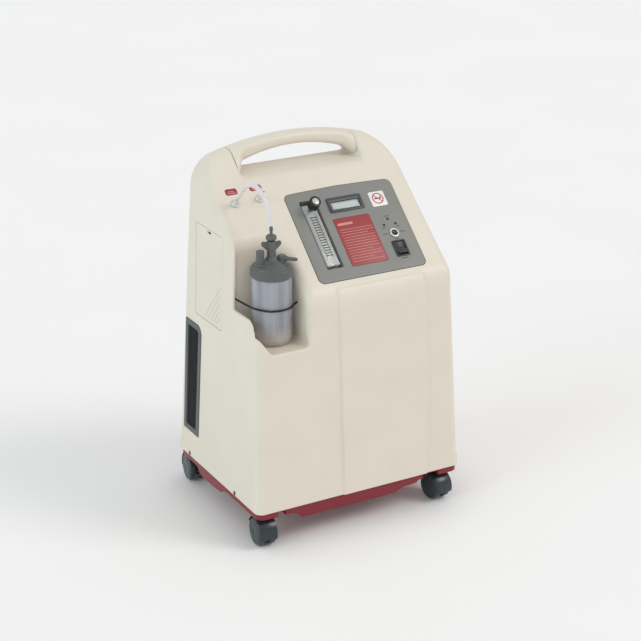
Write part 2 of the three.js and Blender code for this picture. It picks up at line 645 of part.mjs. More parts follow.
function controlPanel() {
  const plate = alongZ(panelOutline(0), panelFoot, panelTop, 6);
  const well = alongZ(rectangle(WELL.x0 - WELL.wall, WELL.s0 - WELL.wall, WELL.x1 + WELL.wall,
    WELL.s1 + WELL.wall, 2), panelTop - WELL.depth - WELL.wall, panelTop - 0.5);
  const wellSpace = alongZ(rectangle(WELL.x0, WELL.s0, WELL.x1, WELL.s1, 1), panelTop - WELL.depth, 20);
  const seats = [PLATE, PICTOGRAM].map((p) => alongZ(spanned(p, FIT), panelTop - PLATE_T, 20));
  const lcd = alongZ(screenWindow(LCD.rim + FIT), -20, 20);
  const leds = LED_SPOTS.map(([x, s]) => rod(LED_D + 2 * FIT, -20, 20, x, s, 12));
  const reset = rod(RESET_BARREL_D + 2 * FIT, -20, 20, RESET.x, RESET.s);
  const rocker = alongZ(centred(sleeveSize, FIT), -20, 20);
  return cut(join(plate, well), wellSpace, ...seats, lcd, ...leds, reset, rocker);
}

function displayBezel() {
  const flange = alongZ(centred(LCD, 0, 2), panelTop + GAP, panelTop + GAP + 1.8);
  const skirt = alongZ(screenWindow(LCD.rim), -5, panelTop + GAP + 0.5);
  const window = alongZ(screenWindow(0), -20, 20);
  return cut(join(flange, skirt), window);
}

function displayScreen() {
  return alongZ(screenWindow(-GAP), -4, 0.4);
}

// Three light pins on one clear plate behind the panel.
function lightPipe() {
  const foot = panelFoot - GAP - 1.8;
  const reach = 3;
  const [top, left, right] = LED_SPOTS;
  const plate = alongZ(outline([
    [left[0] - reach, left[1] - reach], [right[0] + reach, right[1] - reach],
    [right[0] + reach, right[1] + reach], [top[0], top[1] + reach + 1], [left[0] - reach, left[1] + reach],
  ]), foot, panelFoot - GAP);
  const r = LED_D / 2;
  const pins = LED_SPOTS.map(([x, s]) => turned([[0, foot + 0.5], [r, foot + 0.5], [r, panelTop + 0.3],
    [r * 0.7, panelTop + 0.9], [0, panelTop + 1.1]], x, s, 12));
  return join(plate, ...pins);
}

function resetRing() {
  const R = RESET.d / 2;
  const r = RESET.bore / 2;
  const foot = panelTop + GAP;
  const barrel = RESET_BARREL_D / 2;
  return turned([[r, -8], [barrel, -8], [barrel, foot], [R, foot], [R, foot + 1.4], [R - 1.2, foot + 2.4],
    [r + 0.8, foot + 2.4], [r, foot + 1.6], [r, -8]], RESET.x, RESET.s, 20);
}

function resetButton() {
  const r = RESET_BUTTON_D / 2;
  return turned([[0, -7], [r, -7], [r, 1.6], [r - 0.8, 2.2], [0, 1.7]], RESET.x, RESET.s, 16);
}

function switchHousing() {
  const flange = alongZ(centred(ROCKER, 0, 1), panelTop + GAP, panelTop + GAP + 1.8);
  const sleeve = alongZ(centred(sleeveSize, 0), -15, panelTop + GAP + 0.5);
  const space = alongZ(centred({ ...sleeveSize, w: ROCKER.cavityW, h: ROCKER.cavityH }, 0), -13, 20);
  return cut(join(flange, sleeve), space);
}

const ROCKER_AXIS_N = -4;

// The rocker about its own axis; its top is two faces that meet in a shallow V.
function powerRocker() {
  const half = ROCKER.cavityH / 2 - 1.6;
  const width = ROCKER.cavityW / 2 - FIT;
  const side = outline([[-half, -2.5, 1], [-half * 0.55, -7], [half * 0.55, -7], [half, -2.5, 1],
    [half, 8, 0.8], [0, 5.4], [-half, 8, 0.8]]);
  return alongX(side, -width, width);
}

function flowmeterBlock() {
  const foot = panelTop - WELL.depth + GAP;
  const bodyShape = rectangle(BLOCK.x0, BLOCK.s0, BLOCK.x1, BLOCK.s1, BLOCK.r);
  const body = alongZ(bodyShape, foot, 0);
  const x = (BLOCK.x0 + BLOCK.x1) / 2;
  const bore = moved(rod(FLOAT_BORE_D, BLOCK.s0 - 1, KNOB_S - 12, 0, 0, 16), boreFrame(x));
  const knobHole = rod(7 + 2 * FIT, -7.5, 20, x, KNOB_S);
  return cut(body, bore, knobHole);
}

const BORE_N = -7;
// A frame whose z runs up the flowmeter's bore.
const boreFrame = (x) => new THREE.Matrix4().makeBasis(
  new THREE.Vector3(1, 0, 0), new THREE.Vector3(0, 0, -1), new THREE.Vector3(0, 1, 0),
).setPosition(x, 0, BORE_N);

function flowFloat(x) {
  const r = FLOAT_D / 2;
  const s = BLOCK.s0 + 8;
  const profile = [[0, s - r], [r * 0.5, s - r * 0.85], [r, s], [r, s + 1], [r * 0.5, s + r], [0, s + r]];
  return moved(turned(profile, 0, 0, 14), boreFrame(x));
}

function flowKnob(x) {
  const [r, n0, n1] = [KNOB_D / 2, KNOB_STANDOFF, KNOB_STANDOFF + KNOB_H];
  const body = turned([[0, -7], [3.5, -7], [3.5, n0], [r, n0], [r, n1 - 1.2], [r - 1.2, n1], [0, n1]],
    x, KNOB_S, 20);
  const seat = rod(KNOB_D - 4, n1 - 1, n1 + 5, x, KNOB_S, 20);
  return cut(body, seat);
}

function flowKnobCap(x) {
  const n1 = KNOB_STANDOFF + KNOB_H;
  const r = KNOB_D / 2 - 2 - GAP;
  return turned([[0, n1 - 1 + GAP], [r, n1 - 1 + GAP], [r, n1], [r - 0.8, n1 + 0.6], [0, n1 + 0.8]],
    x, KNOB_S, 20);
}

// A barbed hose port with its nut behind the wall; the tip is open.
function hosePort(x, s) {
  const wall = -WALL - GAP;
  return turned([
    [0, 6], [1.6, 6], [1.6, PORT_L], [2.2, PORT_L], [3.1, PORT_L - 3.5], [2.4, PORT_L - 3.5],
    [2.4, PORT_L - 6], [3.1, PORT_L - 9.5], [2.5, PORT_L - 9.5], [2.5, 7], [4.2, 5.5], [4.2, 2.8],
    [PORT_D / 2, 2.2], [PORT_D / 2, GAP], [4, GAP], [4, wall], [6.5, wall], [6.5, wall - 5], [0, wall - 5],
  ].reverse(), x, s, 12);
}

function addPanel() {
  const slope = framed(slopeFrame);
  const meterX = (BLOCK.x0 + BLOCK.x1) / 2;
  add('control_panel', controlPanel(), LOOK.panel, slope);
  add('display_bezel', displayBezel(), LOOK.darkGrey, slope);
  add('display_screen', displayScreen(), LOOK.screen, slope);
  add('instruction_plate', alongZ(spanned(PLATE, 0), panelTop - PLATE_T + GAP, panelTop + GAP),
    LOOK.plateRed, slope);
  add('pictogram_plate', alongZ(spanned(PICTOGRAM, 0), panelTop - PLATE_T + GAP, panelTop + GAP),
    LOOK.plateWhite, slope);
  add('indicator_light_pipe', lightPipe(), LOOK.black, slope);
  add('reset_ring', resetRing(), LOOK.chrome, slope);
  add('reset_button', resetButton(), LOOK.black, slope);
  add('switch_housing', switchHousing(), LOOK.black, slope);
  const rocker = add('power_rocker', powerRocker(), LOOK.black, slope);
  rocker.position.set(ROCKER.x, ROCKER.s, ROCKER_AXIS_N);
  rocker.rotation.x = THREE.MathUtils.degToRad(-ROCKER.tilt);
  add('flowmeter_block', flowmeterBlock(), LOOK.clear, slope);
  add('flow_float', flowFloat(meterX), LOOK.chrome, slope);
  add('flow_knob', flowKnob(meterX), LOOK.black, slope);
  add('flow_knob_cap', flowKnobCap(meterX), LOOK.plateWhite, slope);
  add('outlet_port', hosePort(PORT_X[0], PORT_S[0]), LOOK.chrome, slope);
  add('spare_port', hosePort(PORT_X[1], PORT_S[1]), LOOK.chrome, slope);
}

// ---------------------------------------------------------------- humidifier bottle
function humidifierJar() {
  const R = JAR_D / 2;
  const r = R - JAR_WALL;
  const [z0, z1] = [BOTTLE.z, LID_Z - GAP];
  const neck = R - JAR_NECK_INSET;
  const neckTop = LID_Z + JAR_NECK_H;
  return turned([
    [0, z0 + 1], [R - 10, z0], [R - 3, z0 + 1.5], [R - 1, z0 + 7], [R, z1 - 1.5], [R - 1, z1], [neck, z1],
    [neck, neckTop], [neck - JAR_WALL, neckTop], [neck - JAR_WALL, z1 - 1], [r, z1 - 5],
    [r - 1, z0 + 8], [r - 4, z0 + 3.5], [0, z0 + 3],
  ], BOTTLE.x, BOTTLE.y, 22);
}

function humidifierLid() {
  const R = JAR_D / 2 + 0.8;
  const r = JAR_D / 2 - JAR_NECK_INSET + FIT;
  const roof = LID_Z + JAR_NECK_H + 0.5;
  const neck = NECK_D / 2;
  const bore = STEM_TUBE_D / 2 + FIT;
  const dome = turned([
    [r, LID_Z], [R, LID_Z], [R, DOME_Z - 2], [R - 2, DOME_Z], [R - 4, DOME_Z + 1],
    [R * 0.72, DOME_Z + LID_DOME_H * 0.42], [R * 0.42, DOME_Z + LID_DOME_H * 0.68],
    [neck + 1.5, DOME_Z + LID_DOME_H * 0.9], [neck, NECK_Z + 2], [neck, NECK_Z + NECK_H],
    [bore, NECK_Z + NECK_H], [bore, roof + 4], [r, roof], [r, LID_Z],
  ], BOTTLE.x, BOTTLE.y, 22);
  const [x, y] = [BOTTLE.x + RELIEF.dx, BOTTLE.y + RELIEF.dy];
  const seat = rod(RELIEF.d + 4, DOME_Z - 1, DOME_Z + 11, x, y, 16);
  const seatHole = rod(RELIEF.d + 2 * FIT, DOME_Z + RELIEF.sink, DOME_Z + 40, x, y, 16);
  return join(cut(join(dome, seat), seatHole), outletElbow());
}

// The outlet: a short round tower on the dome with a tapered nozzle to the right and front.
function outletElbow() {
  const [x, y] = [BOTTLE.x + OUTLET.dx, BOTTLE.y + OUTLET.dy];
  const tower = rod(OUTLET.d, DOME_Z + 1, DOME_Z + OUTLET.h, x, y, 16);
  const tip = OUTLET.nozzleL;
  const nozzle = turned([[0, 0], [4.2, 0], [4.2, 8], [3.2, 9], [3.1, tip - 7], [2.3, tip], [0, tip]],
    0, 0, 14);
  const turn = new THREE.Matrix4().makeRotationZ(THREE.MathUtils.degToRad(OUTLET.turn));
  const level = new THREE.Matrix4().makeRotationY(Math.PI / 2);
  const place = turn.multiply(level).setPosition(x, y, DOME_Z + OUTLET.nozzleUp);
  return join(tower, moved(nozzle, place));
}

function reliefCap() {
  const z0 = DOME_Z + RELIEF.sink + GAP;
  const [r, z1] = [RELIEF.d / 2, z0 + RELIEF.h];
  return turned([[0, z0], [r, z0], [r, z1 - 1.5], [r - 1, z1], [0, z1]],
    BOTTLE.x + RELIEF.dx, BOTTLE.y + RELIEF.dy, 20);
}

function wingNut() {
  const bore = STEM_TUBE_D + 2 * FIT;
  const hub = ring(NECK_D + 1, bore, NUT_Z, NUT_Z + NUT_H, 0, 0, 20);
  const inner = STEM_TUBE_D / 2 + 1.5;
  const wing = alongY(outline([
    [inner, NUT_Z + 1], [NECK_D / 2 + 1, NUT_Z + 1], [WING_SPAN / 2, NUT_Z + 9, 2],
    [WING_SPAN / 2, NUT_Z + NUT_H, 2.5], [inner, NUT_Z + NUT_H - 1],
  ]), -2, 2);
  const other = moved(wing, new THREE.Matrix4().makeRotationZ(Math.PI));
  const turn = new THREE.Matrix4().makeRotationZ(-0.25).setPosition(BOTTLE.x, BOTTLE.y, 0);
  return moved(join(hub, wing, other), turn);
}

function inletStem() {
  const r = STEM_TUBE_D / 2;
  const z0 = LID_Z + 2;
  const nipple = NIPPLE_D / 2;
  return turned([
    [0, z0], [r, z0], [r, COLLAR_Z], [8.8, COLLAR_Z], [8.8, COLLAR_Z + 5], [6.8, COLLAR_Z + 7],
    [4, COLLAR_Z + 7.5], [nipple, COLLAR_Z + 9], [nipple, STEM_TOP - 7],
    [nipple + 0.7, STEM_TOP - 6.5], [nipple - 0.4, STEM_TOP], [0, STEM_TOP],
  ], BOTTLE.x, BOTTLE.y, 14);
}

// The dip tube under the lid and the porous stone on its foot.
function diffuserTube() {
  const z0 = BOTTLE.z + 8;
  const top = LID_Z + 2 - GAP;
  return turned([[0, z0], [5.5, z0], [5.5, z0 + 14], [3, z0 + 16], [3, top], [0, top]],
    BOTTLE.x, BOTTLE.y, 16);
}

const slopeSpot = (x, s, n) => new THREE.Vector3(x, s, n).applyMatrix4(slopeFrame);

// The clear hose from the outlet port's tip up, over and down to the bottle's nipple. Its
// points are measured from the tip.
const HOSE_D = 8.5;
const HOSE_ROUTE = [
  [0.2, -4.4, 5.9], [1.3, -10.0, 13.3], [3.3, -18.9, 21.6], [6.3, -30.4, 27.1],
  [9.3, -41.9, 26.5], [11.9, -52.4, 21.1], [14.3, -61.9, 12.1], [15.9, -69.4, 0.5],
  [16.9, -74.4, -11.2],
];

function oxygenTube() {
  const tip = slopeSpot(PORT_X[0], PORT_S[0], PORT_L + GAP + 0.3);
  const start = [tip.x, tip.y, tip.z];
  const route = HOSE_ROUTE.map(([dx, dy, dz]) => [tip.x + dx, tip.y + dy, tip.z + dz]);
  const end = [BOTTLE.x, BOTTLE.y, STEM_TOP + GAP];
  const above = [BOTTLE.x, BOTTLE.y + 0.4, STEM_TOP + 6];
  return tube([start, ...route, above, end], HOSE_D, 10, 22);
}

// The elastic strap, held at both ends in the recess's walls and round the jar's front.
const STRAP_D = 3.4;
function bottleStrap() {
  const r = JAR_D / 2 + STRAP_D / 2 + 0.5;
  const leftZ = RIM_Z + 18;
  const innerWall = -sideX(leftZ) + BAND_STEP + WALL;
  const left = [innerWall + STRAP_D / 2 + 0.6, RECESS_Y - STRAP_D / 2 - 0.6, leftZ];
  const right = [RECESS_X - STRAP_D / 2 - 0.8, BOTTLE.y - 18, RIM_Z + 14];
  const round = [];
  for (let deg = 232; deg <= 322; deg += 15) {
    const a = THREE.MathUtils.degToRad(deg);
    round.push([BOTTLE.x + r * Math.cos(a), BOTTLE.y + r * Math.sin(a), RIM_Z + 12]);
  }
  const slack = [BOTTLE.x - r - 3.3, BOTTLE.y - r / 4, RIM_Z + 14.5];
  return tube([left, slack, ...round, right], STRAP_D, 8, 26);
}

function addBottle() {
  add('humidifier_jar', humidifierJar(), LOOK.jar);
  add('humidifier_lid', humidifierLid(), LOOK.lidGrey);
  add('relief_cap', reliefCap(), LOOK.lidGrey);
  add('wing_nut', wingNut(), LOOK.lidGrey);
  add('inlet_stem', inletStem(), LOOK.lidGrey);
  add('diffuser_tube', diffuserTube(), LOOK.plateWhite);
  add('oxygen_tube', oxygenTube(), LOOK.clear);
  add('bottle_strap', bottleStrap(), LOOK.black);
}

// ---------------------------------------------------------------- left and rear fittings
function accessDoor() {
  const plate = alongZ(doorOutline(0), -DOOR_T, 0);
  const y = -(DOOR.y0 + DOOR.y1) / 2;
  const notch = alongZ(rectangle(y - 9, upLeft(DOOR.z1) - 7, y + 9, upLeft(DOOR.z1) - 3, 1), -0.8, 5);
  return cut(plate, notch);
}

function filterFrame() {
  const rim = alongZ(filterOutline(0), -FOAM_T + 2, FILTER_PROUD);
  const hole = alongZ(filterOutline(-FILTER.border), -20, 20);
  return cut(rim, hole);
}

function filterFoam() {
  return alongZ(filterOutline(-FILTER.border - GAP), -FOAM_T + 2, -1);
}

function mainsInlet() {
  const [x, v] = [-INLET.x, upRear(INLET.z)];
  const [w, h] = [INLET.w / 2, INLET.h / 2];
  const flange = alongZ(rectangle(x - w - 3, v - h - 3, x + w + 3, v + h + 3, 3), GAP, GAP + 2);
  const body = alongZ(rectangle(x - w, v - h, x + w, v + h, 2), -24, GAP + 1);
  const socket = alongZ(outline([[x - 12, v - 21, 1], [x + 12, v - 21, 1], [x + 12, v - 9, 1],
    [x + 8, v - 4, 1], [x - 8, v - 4, 1], [x - 12, v - 9, 1]]), -16, 20);
  const drawer = alongZ(rectangle(x - 12, v + 3, x + 12, v + 19, 1), -1, 20);
  const pins = [[-7, -15], [0, -10.5], [7, -15]].map(([dx, dv]) => box(x + dx - 1, v + dv - 2, -17,
    x + dx + 1, v + dv + 2, -3));
  return join(cut(join(flange, body), socket, drawer), ...pins);
}

function exhaustGrille() {
  const [x, v] = [-GRILLE.x, upRear(GRILLE.z)];
  const [w, h] = [GRILLE.w / 2, GRILLE.h / 2];
  const plate = alongZ(rectangle(x - w, v - h, x + w, v + h, 6), -2.6, 0);
  const slots = [];
  const pitch = 12;
  const bar = 6;
  for (let y = -h + 10; y <= h - 10 - bar; y += pitch) {
    slots.push(box(x - w + 9, v + y, -10, x + w - 9, v + y + pitch - bar, 10));
  }
  return cut(plate, ...slots);
}

function addFittings() {
  const left = framed(leftFrame);
  add('access_door', accessDoor(), LOOK.shell, left);
  add('filter_frame', filterFrame(), LOOK.panel, left);
  add('filter_foam', filterFoam(), LOOK.foam, left);
  const rear = framed(rearFrame);
  add('mains_inlet', mainsInlet(), LOOK.black, rear);
  add('exhaust_grille', exhaustGrille(), LOOK.shell, rear);
}

// ---------------------------------------------------------------- base tray and casters
const TRAY_Z = BASE_Z - TRAY_EDGE;
const CASTERS = [
  { name: 'front_left', x: -CASTER_LEFT_X, y: CASTER_FRONT_Y, yaw: -5, ahead: -1 },
  { name: 'front_right', x: CASTER_RIGHT_X, y: CASTER_FRONT_Y, yaw: 6, ahead: -1 },
  { name: 'rear_left', x: -CASTER_LEFT_X, y: CASTER_REAR_Y, yaw: -6, ahead: 1 },
  { name: 'rear_right', x: CASTER_RIGHT_X, y: CASTER_REAR_Y, yaw: 4, ahead: 1 },
];

function trayPlan(inset) {
  const [x, y] = [BODY_W / 2 - TRAY_INSET - inset, BODY_D / 2 - TRAY_INSET - inset];
  return rectangle(-x, -y, x, y, FRONT_CORNER_R - inset);
}

// The tub that hangs below the skirt: one band front to back, one band side to side.
function tub(inset) {
  const [x, y] = [BODY_W / 2 - TRAY_INSET - 1 - inset, BODY_D / 2 - TRAY_INSET - 1 - inset];
  const foot = TRAY_Z - TUB_DROP + inset;
  const top = BASE_Z - TRAY_WALL;
  const frontBand = outline([
    [TUB_X.topLeft + inset, top], [TUB_X.footLeft + inset, foot], [TUB_X.footRight - inset, foot],
    [TUB_X.stepLeft - inset, foot + TUB_STEP], [TUB_X.stepRight - inset, foot + TUB_STEP + 1],
    [TUB_X.topRight - inset, top],
  ]);
  const sideBand = outline([
    [TUB_Y.topFront + inset, top], [TUB_Y.footFront + inset, foot + 3], [TUB_Y.lowFront, foot],
    [TUB_Y.lowRear, foot], [TUB_Y.topRear - inset, top],
  ]);
  return join(alongY(frontBand, -y, y), alongX(sideBand, -x, x));
}

// A gap in the skirt's front edge, walled on its three other sides and closed above.
function skirtGap([x0, x1]) {
  const y = -BODY_D / 2 + TRAY_INSET;
  const top = BASE_Z - GAP;
  const walls = box(x0 - TRAY_WALL, y, TRAY_Z, x1 + TRAY_WALL, y + SKIRT_GAP_DEPTH + TRAY_WALL, top);
  const space = box(x0, -OUTSIDE, TRAY_Z - 1, x1, y + SKIRT_GAP_DEPTH,
    top - SKIRT_GAP_ROOF);
  return { walls, space };
}

function baseTray() {
  const skirt = alongZ(trayPlan(0), TRAY_Z, BASE_Z - GAP);
  const gaps = SKIRT_GAPS.map(skirtGap);
  const inside = join(alongZ(trayPlan(TRAY_WALL), TRAY_Z + TRAY_WALL, BASE_Z + 10), tub(TRAY_WALL));
  const bosses = CASTERS.map(({ x, y }) => rod(STEM_D + 2 * BOSS_WALL, TRAY_Z + 1,
    TRAY_Z + STEM_L + 4, x, y));
  const sockets = CASTERS.map(({ x, y }) => rod(STEM_D + 2 * FIT, TRAY_Z - 5, TRAY_Z + STEM_L, x, y));
  const hollow = cut(join(skirt, tub(0)), inside);
  const walled = join(hollow, ...bosses, ...gaps.map((gap) => gap.walls));
  return cut(walled, ...sockets, ...gaps.map((gap) => gap.space));
}

// A caster about its swivel axis, with the wheels TRAIL along +Y and the floor at z = 0.
function casterHousing() {
  const hub = WHEEL_INNER_GAP - 2;
  const r = WHEEL_D / 2;
  const top = WHEEL_D + TRAY_GAP - 1;
  const web = alongX(outline([[-9, top, 3], [-9, r, 6], [TRAIL - 8, r - 9, 4], [TRAIL + 8, r - 9, 6],
    [TRAIL + r + 1, r + 4, 8], [TRAIL + 12, top - 4, 10], [4, top, 4]]), -hub / 2, hub / 2);
  const hoodR = r + HOOD_PROUD;
  const hoodOut = rod(2 * hoodR, -WHEEL_W - hub / 2, WHEEL_W + hub / 2, 0, 0, 18);
  const hoodIn = rod(2 * (r + 1), -60, 60, 0, 0, 18);
  const toAxle = new THREE.Matrix4().makeRotationY(Math.PI / 2).setPosition(0, TRAIL, r);
  const sector = alongX(outline([[TRAIL, r], [TRAIL - 60, r + 20], [TRAIL - 60, r + 60],
    [TRAIL + 60, r + 60], [TRAIL + 60, r - 28]]), -60, 60);
  const hood = moved(cut(hoodOut, hoodIn), toAxle).intersect(sector);
  const stem = rod(STEM_D, top - 8, TRAY_Z + STEM_L - 1, 0, 0, 16);
  const plate = rod(24, top - 6, TRAY_Z - 0.6, 0, 0, 20);
  return cut(join(web, hood, stem, plate), moved(rod(AXLE_D + 2 * FIT, -60, 60, 0, 0, 14), toAxle));
}

function casterWheel(side) {
  const r = WHEEL_D / 2;
  const near = WHEEL_INNER_GAP / 2;
  const bore = AXLE_D / 2 + 0.1;
  const profile = [
    [bore, near], [r - 3, near], [r, near + 2.5], [r, near + WHEEL_W - 3.5], [r - 2.5, near + WHEEL_W - 0.5],
    [r - 5, near + WHEEL_W], [0, near + WHEEL_W], [0, near + WHEEL_W - 2],
    [bore, near + WHEEL_W - 2], [bore, near],
  ];
  const toAxle = new THREE.Matrix4().makeRotationY((side * Math.PI) / 2).setPosition(0, TRAIL, r);
  return moved(turned(profile, 0, 0, 20), toAxle);
}

function casterAxle() {
  const toAxle = new THREE.Matrix4().makeRotationY(Math.PI / 2).setPosition(0, TRAIL, WHEEL_D / 2);
  const half = WHEEL_INNER_GAP / 2 + WHEEL_W - 2.5;
  return moved(rod(AXLE_D, -half, half, 0, 0, 14), toAxle);
}

function addBase() {
  add('base_tray', baseTray(), LOOK.tray);
  CASTERS.forEach(({ name, x, y, yaw, ahead }) => {
    const group = new THREE.Group();
    const heading = ahead > 0 ? yaw : 180 + yaw;
    group.position.set(x, y, 0);
    group.rotation.z = THREE.MathUtils.degToRad(heading);
    model.add(group);
    add(`caster_${name}_housing`, casterHousing(), LOOK.caster, group);
    add(`caster_${name}_axle`, casterAxle(), LOOK.steel, group);
    add(`caster_${name}_wheel_left`, casterWheel(-ahead), LOOK.caster, group);
    add(`caster_${name}_wheel_right`, casterWheel(ahead), LOOK.caster, group);
  });
}

// ---------------------------------------------------------------- inside the covers
const DECK_Z = BASE_Z + 2;
const ON_DECK = DECK_Z + DECK.t + GAP;

function chassis() {
  const y1 = BODY_D / 2 - DECK.rearGap;
  const deck = box(DECK.x0, DECK.y0, DECK_Z, DECK.x1, y1, DECK_Z + DECK.t);
  const wall = box(COMPRESSOR.x, y1 - DECK.t, DECK_Z + 1, DECK.x1, y1, RECESS_FLOOR + 40);
  return join(deck, wall);
}

function compressor() {
  const { x, y, d, h, headD, headReach, headUp, footH } = COMPRESSOR;
  const body = rod(d, ON_DECK + footH, ON_DECK + h, x, y, 18);
  const feet = box(x - 55, y - 40, ON_DECK, x + 55, y + 40, ON_DECK + footH + 1);
  const toX = new THREE.Matrix4().makeRotationY(Math.PI / 2).setPosition(x, y, ON_DECK + headUp);
  const heads = moved(rod(headD, -headReach, headReach, 0, 0, 16), toX);
  return join(body, feet, heads);
}

function sieveBed(x) {
  const z0 = ON_DECK;
  const top = z0 + SIEVE.h;
  const [R, r, lip] = [SIEVE.capD / 2, SIEVE.d / 2, SIEVE.capH];
  return turned([[0, z0], [R, z0], [R, z0 + lip - 1], [r, z0 + lip], [r, top - lip], [R, top - lip + 1],
    [R, top], [8, top], [8, top + SIEVE.portH], [0, top + SIEVE.portH]], x, SIEVE.y, 16);
}

function productTank() {
  const z0 = ON_DECK;
  const [r, top] = [TANK.d / 2, z0 + TANK.h];
  return turned([[0, z0], [r - 8, z0], [r, z0 + 8], [r, top - 8], [r - 8, top], [5, top + 2],
    [5, top + TANK.portH], [0, top + TANK.portH]], TANK.x, TANK.y, 14);
}

function valveManifold() {
  const z0 = ON_DECK + SIEVE.h + SIEVE.portH + GAP;
  const top = z0 + VALVES.h;
  const y0 = SIEVE.y - VALVES.depth / 2;
  const block = box(VALVES.x0, y0, z0, VALVES.x1, y0 + VALVES.depth, top);
  const coils = VALVES.coilX.map((x) => rod(VALVES.coilD, top - 1, top + VALVES.coilH, x, SIEVE.y, 18));
  return join(block, ...coils);
}

function fanHousing() {
  const [w, v] = [FAN_D / 2 + 5, upRear(GRILLE.z)];
  const frame = alongZ(rectangle(-GRILLE.x - w, v - w, -GRILLE.x + w, v + w, 8), -33, -8);
  const tunnel = rod(FAN_D + 2, -60, 20, -GRILLE.x, v, 24);
  const motor = rod(34, -33, -28, -GRILLE.x, v, 20);
  const strut = box(-GRILLE.x - w, v - 3, -33, -GRILLE.x + w, v + 3, -29);
  return join(cut(frame, tunnel), motor, strut);
}

function fanRotor() {
  const v = upRear(GRILLE.z);
  const hub = rod(38, -27, -10, 0, 0, 14);
  const blades = [];
  const count = 7;
  for (let i = 0; i < count; i += 1) {
    const blade = box(14, -1, -7, FAN_D / 2 - 1.5, 1, 7);
    const pitch = new THREE.Matrix4().makeRotationX(0.75);
    const seat = new THREE.Matrix4().makeTranslation(0, 0, -18.5);
    const spin = new THREE.Matrix4().makeRotationZ((2 * Math.PI * i) / count);
    blades.push(moved(blade, spin.multiply(seat).multiply(pitch)));
  }
  return shifted(join(hub, ...blades), -GRILLE.x, v, 0);
}

function controlBoard() {
  const x = (ROCKER.x + LCD.x) / 2;
  const face = BOARD.t - BOARD.down;
  const board = alongZ(rectangle(x - BOARD.left, BOARD.s0, x + BOARD.right, BOARD.s1, 2), -BOARD.down, face);
  const parts = [[0, 80, 6.4], [26, 110, 4.4], [-20, 150, 5]].map(([dx, s, h]) => (
    alongZ(rectangle(x + dx - 9, s - 7, x + dx + 9, s + 7), face - 0.6, face + h)));
  return join(board, ...parts);
}

function intakeFilter() {
  const z0 = FILTER.bottom + INTAKE.up;
  const [r, top] = [INTAKE.d / 2, z0 + INTAKE.h];
  return turned([[0, z0], [r, z0], [r, top], [12, top + 6], [7, top + 6], [7, top + 20], [0, top + 20]],
    INTAKE.x, INTAKE.y, 16);
}

function addInsides() {
  add('chassis', chassis(), LOOK.steel);
  add('compressor', compressor(), LOOK.aluminium);
  add('sieve_bed_left', sieveBed(SIEVE.x[0]), LOOK.aluminium);
  add('sieve_bed_right', sieveBed(SIEVE.x[1]), LOOK.aluminium);
  add('product_tank', productTank(), LOOK.aluminium);
  add('valve_manifold', valveManifold(), LOOK.black);
  add('intake_filter', intakeFilter(), LOOK.plateWhite);
  const rear = framed(rearFrame);
  add('fan_housing', fanHousing(), LOOK.black, rear);
  add('fan_rotor', fanRotor(), LOOK.black, rear);
  const slope = framed(slopeFrame);
  add('control_board', controlBoard(), LOOK.green, slope);
}

// ---------------------------------------------------------------- assembly
addCovers();
addPanel();
addBottle();
addFittings();
addBase();
addInsides();

// The origin goes under the middle of the whole box. Its front and rear are the farthest reach
// of the raised zone's foot and of the casters' hoods.
const hoodReach = ({ yaw }) => {
  const a = THREE.MathUtils.degToRad(Math.abs(yaw));
  const halfWidth = (WHEEL_INNER_GAP - 2) / 2 + WHEEL_W;
  return (TRAIL + WHEEL_D / 2 + HOOD_PROUD) * Math.cos(a) + halfWidth * Math.sin(a);
};
const ends = CASTERS.map((caster) => caster.y + caster.ahead * hoodReach(caster));
const frontMost = Math.min(-BODY_D / 2 - PAD_PROUD + BAND_STEP, ...ends);
const rearMost = Math.max(...ends);
model.position.y = -(frontMost + rearMost) / 2;
model.updateMatrixWorld(true);

export default model;
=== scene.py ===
"""Oxygen concentrator on casters: the looks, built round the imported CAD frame.

Shapes are written in millimetres in the body's own frame (x right, -y front, z up, middle of the
base plan at 0, 0) or in the slope's, left wall's or rear wall's frame, and placed in metres.
"""
import math
import random

import bmesh
import bpy
import numpy as np
from mathutils import Matrix, Vector


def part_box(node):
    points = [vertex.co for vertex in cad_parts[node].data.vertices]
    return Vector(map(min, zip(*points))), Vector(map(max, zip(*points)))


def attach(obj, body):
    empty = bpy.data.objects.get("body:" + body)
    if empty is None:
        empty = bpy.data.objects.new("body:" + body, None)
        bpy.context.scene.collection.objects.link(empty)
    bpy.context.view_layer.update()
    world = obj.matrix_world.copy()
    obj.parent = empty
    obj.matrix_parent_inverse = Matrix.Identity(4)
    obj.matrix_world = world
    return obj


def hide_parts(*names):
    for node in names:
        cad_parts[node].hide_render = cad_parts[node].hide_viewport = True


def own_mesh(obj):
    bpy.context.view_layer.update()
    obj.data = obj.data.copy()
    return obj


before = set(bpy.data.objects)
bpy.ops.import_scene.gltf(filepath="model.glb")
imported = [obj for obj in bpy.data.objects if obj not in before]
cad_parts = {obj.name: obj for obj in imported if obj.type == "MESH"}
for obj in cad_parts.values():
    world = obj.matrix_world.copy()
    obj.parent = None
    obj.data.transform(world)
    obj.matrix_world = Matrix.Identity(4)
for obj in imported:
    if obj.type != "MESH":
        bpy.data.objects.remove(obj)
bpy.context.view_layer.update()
MM = 0.001
random.seed(7)

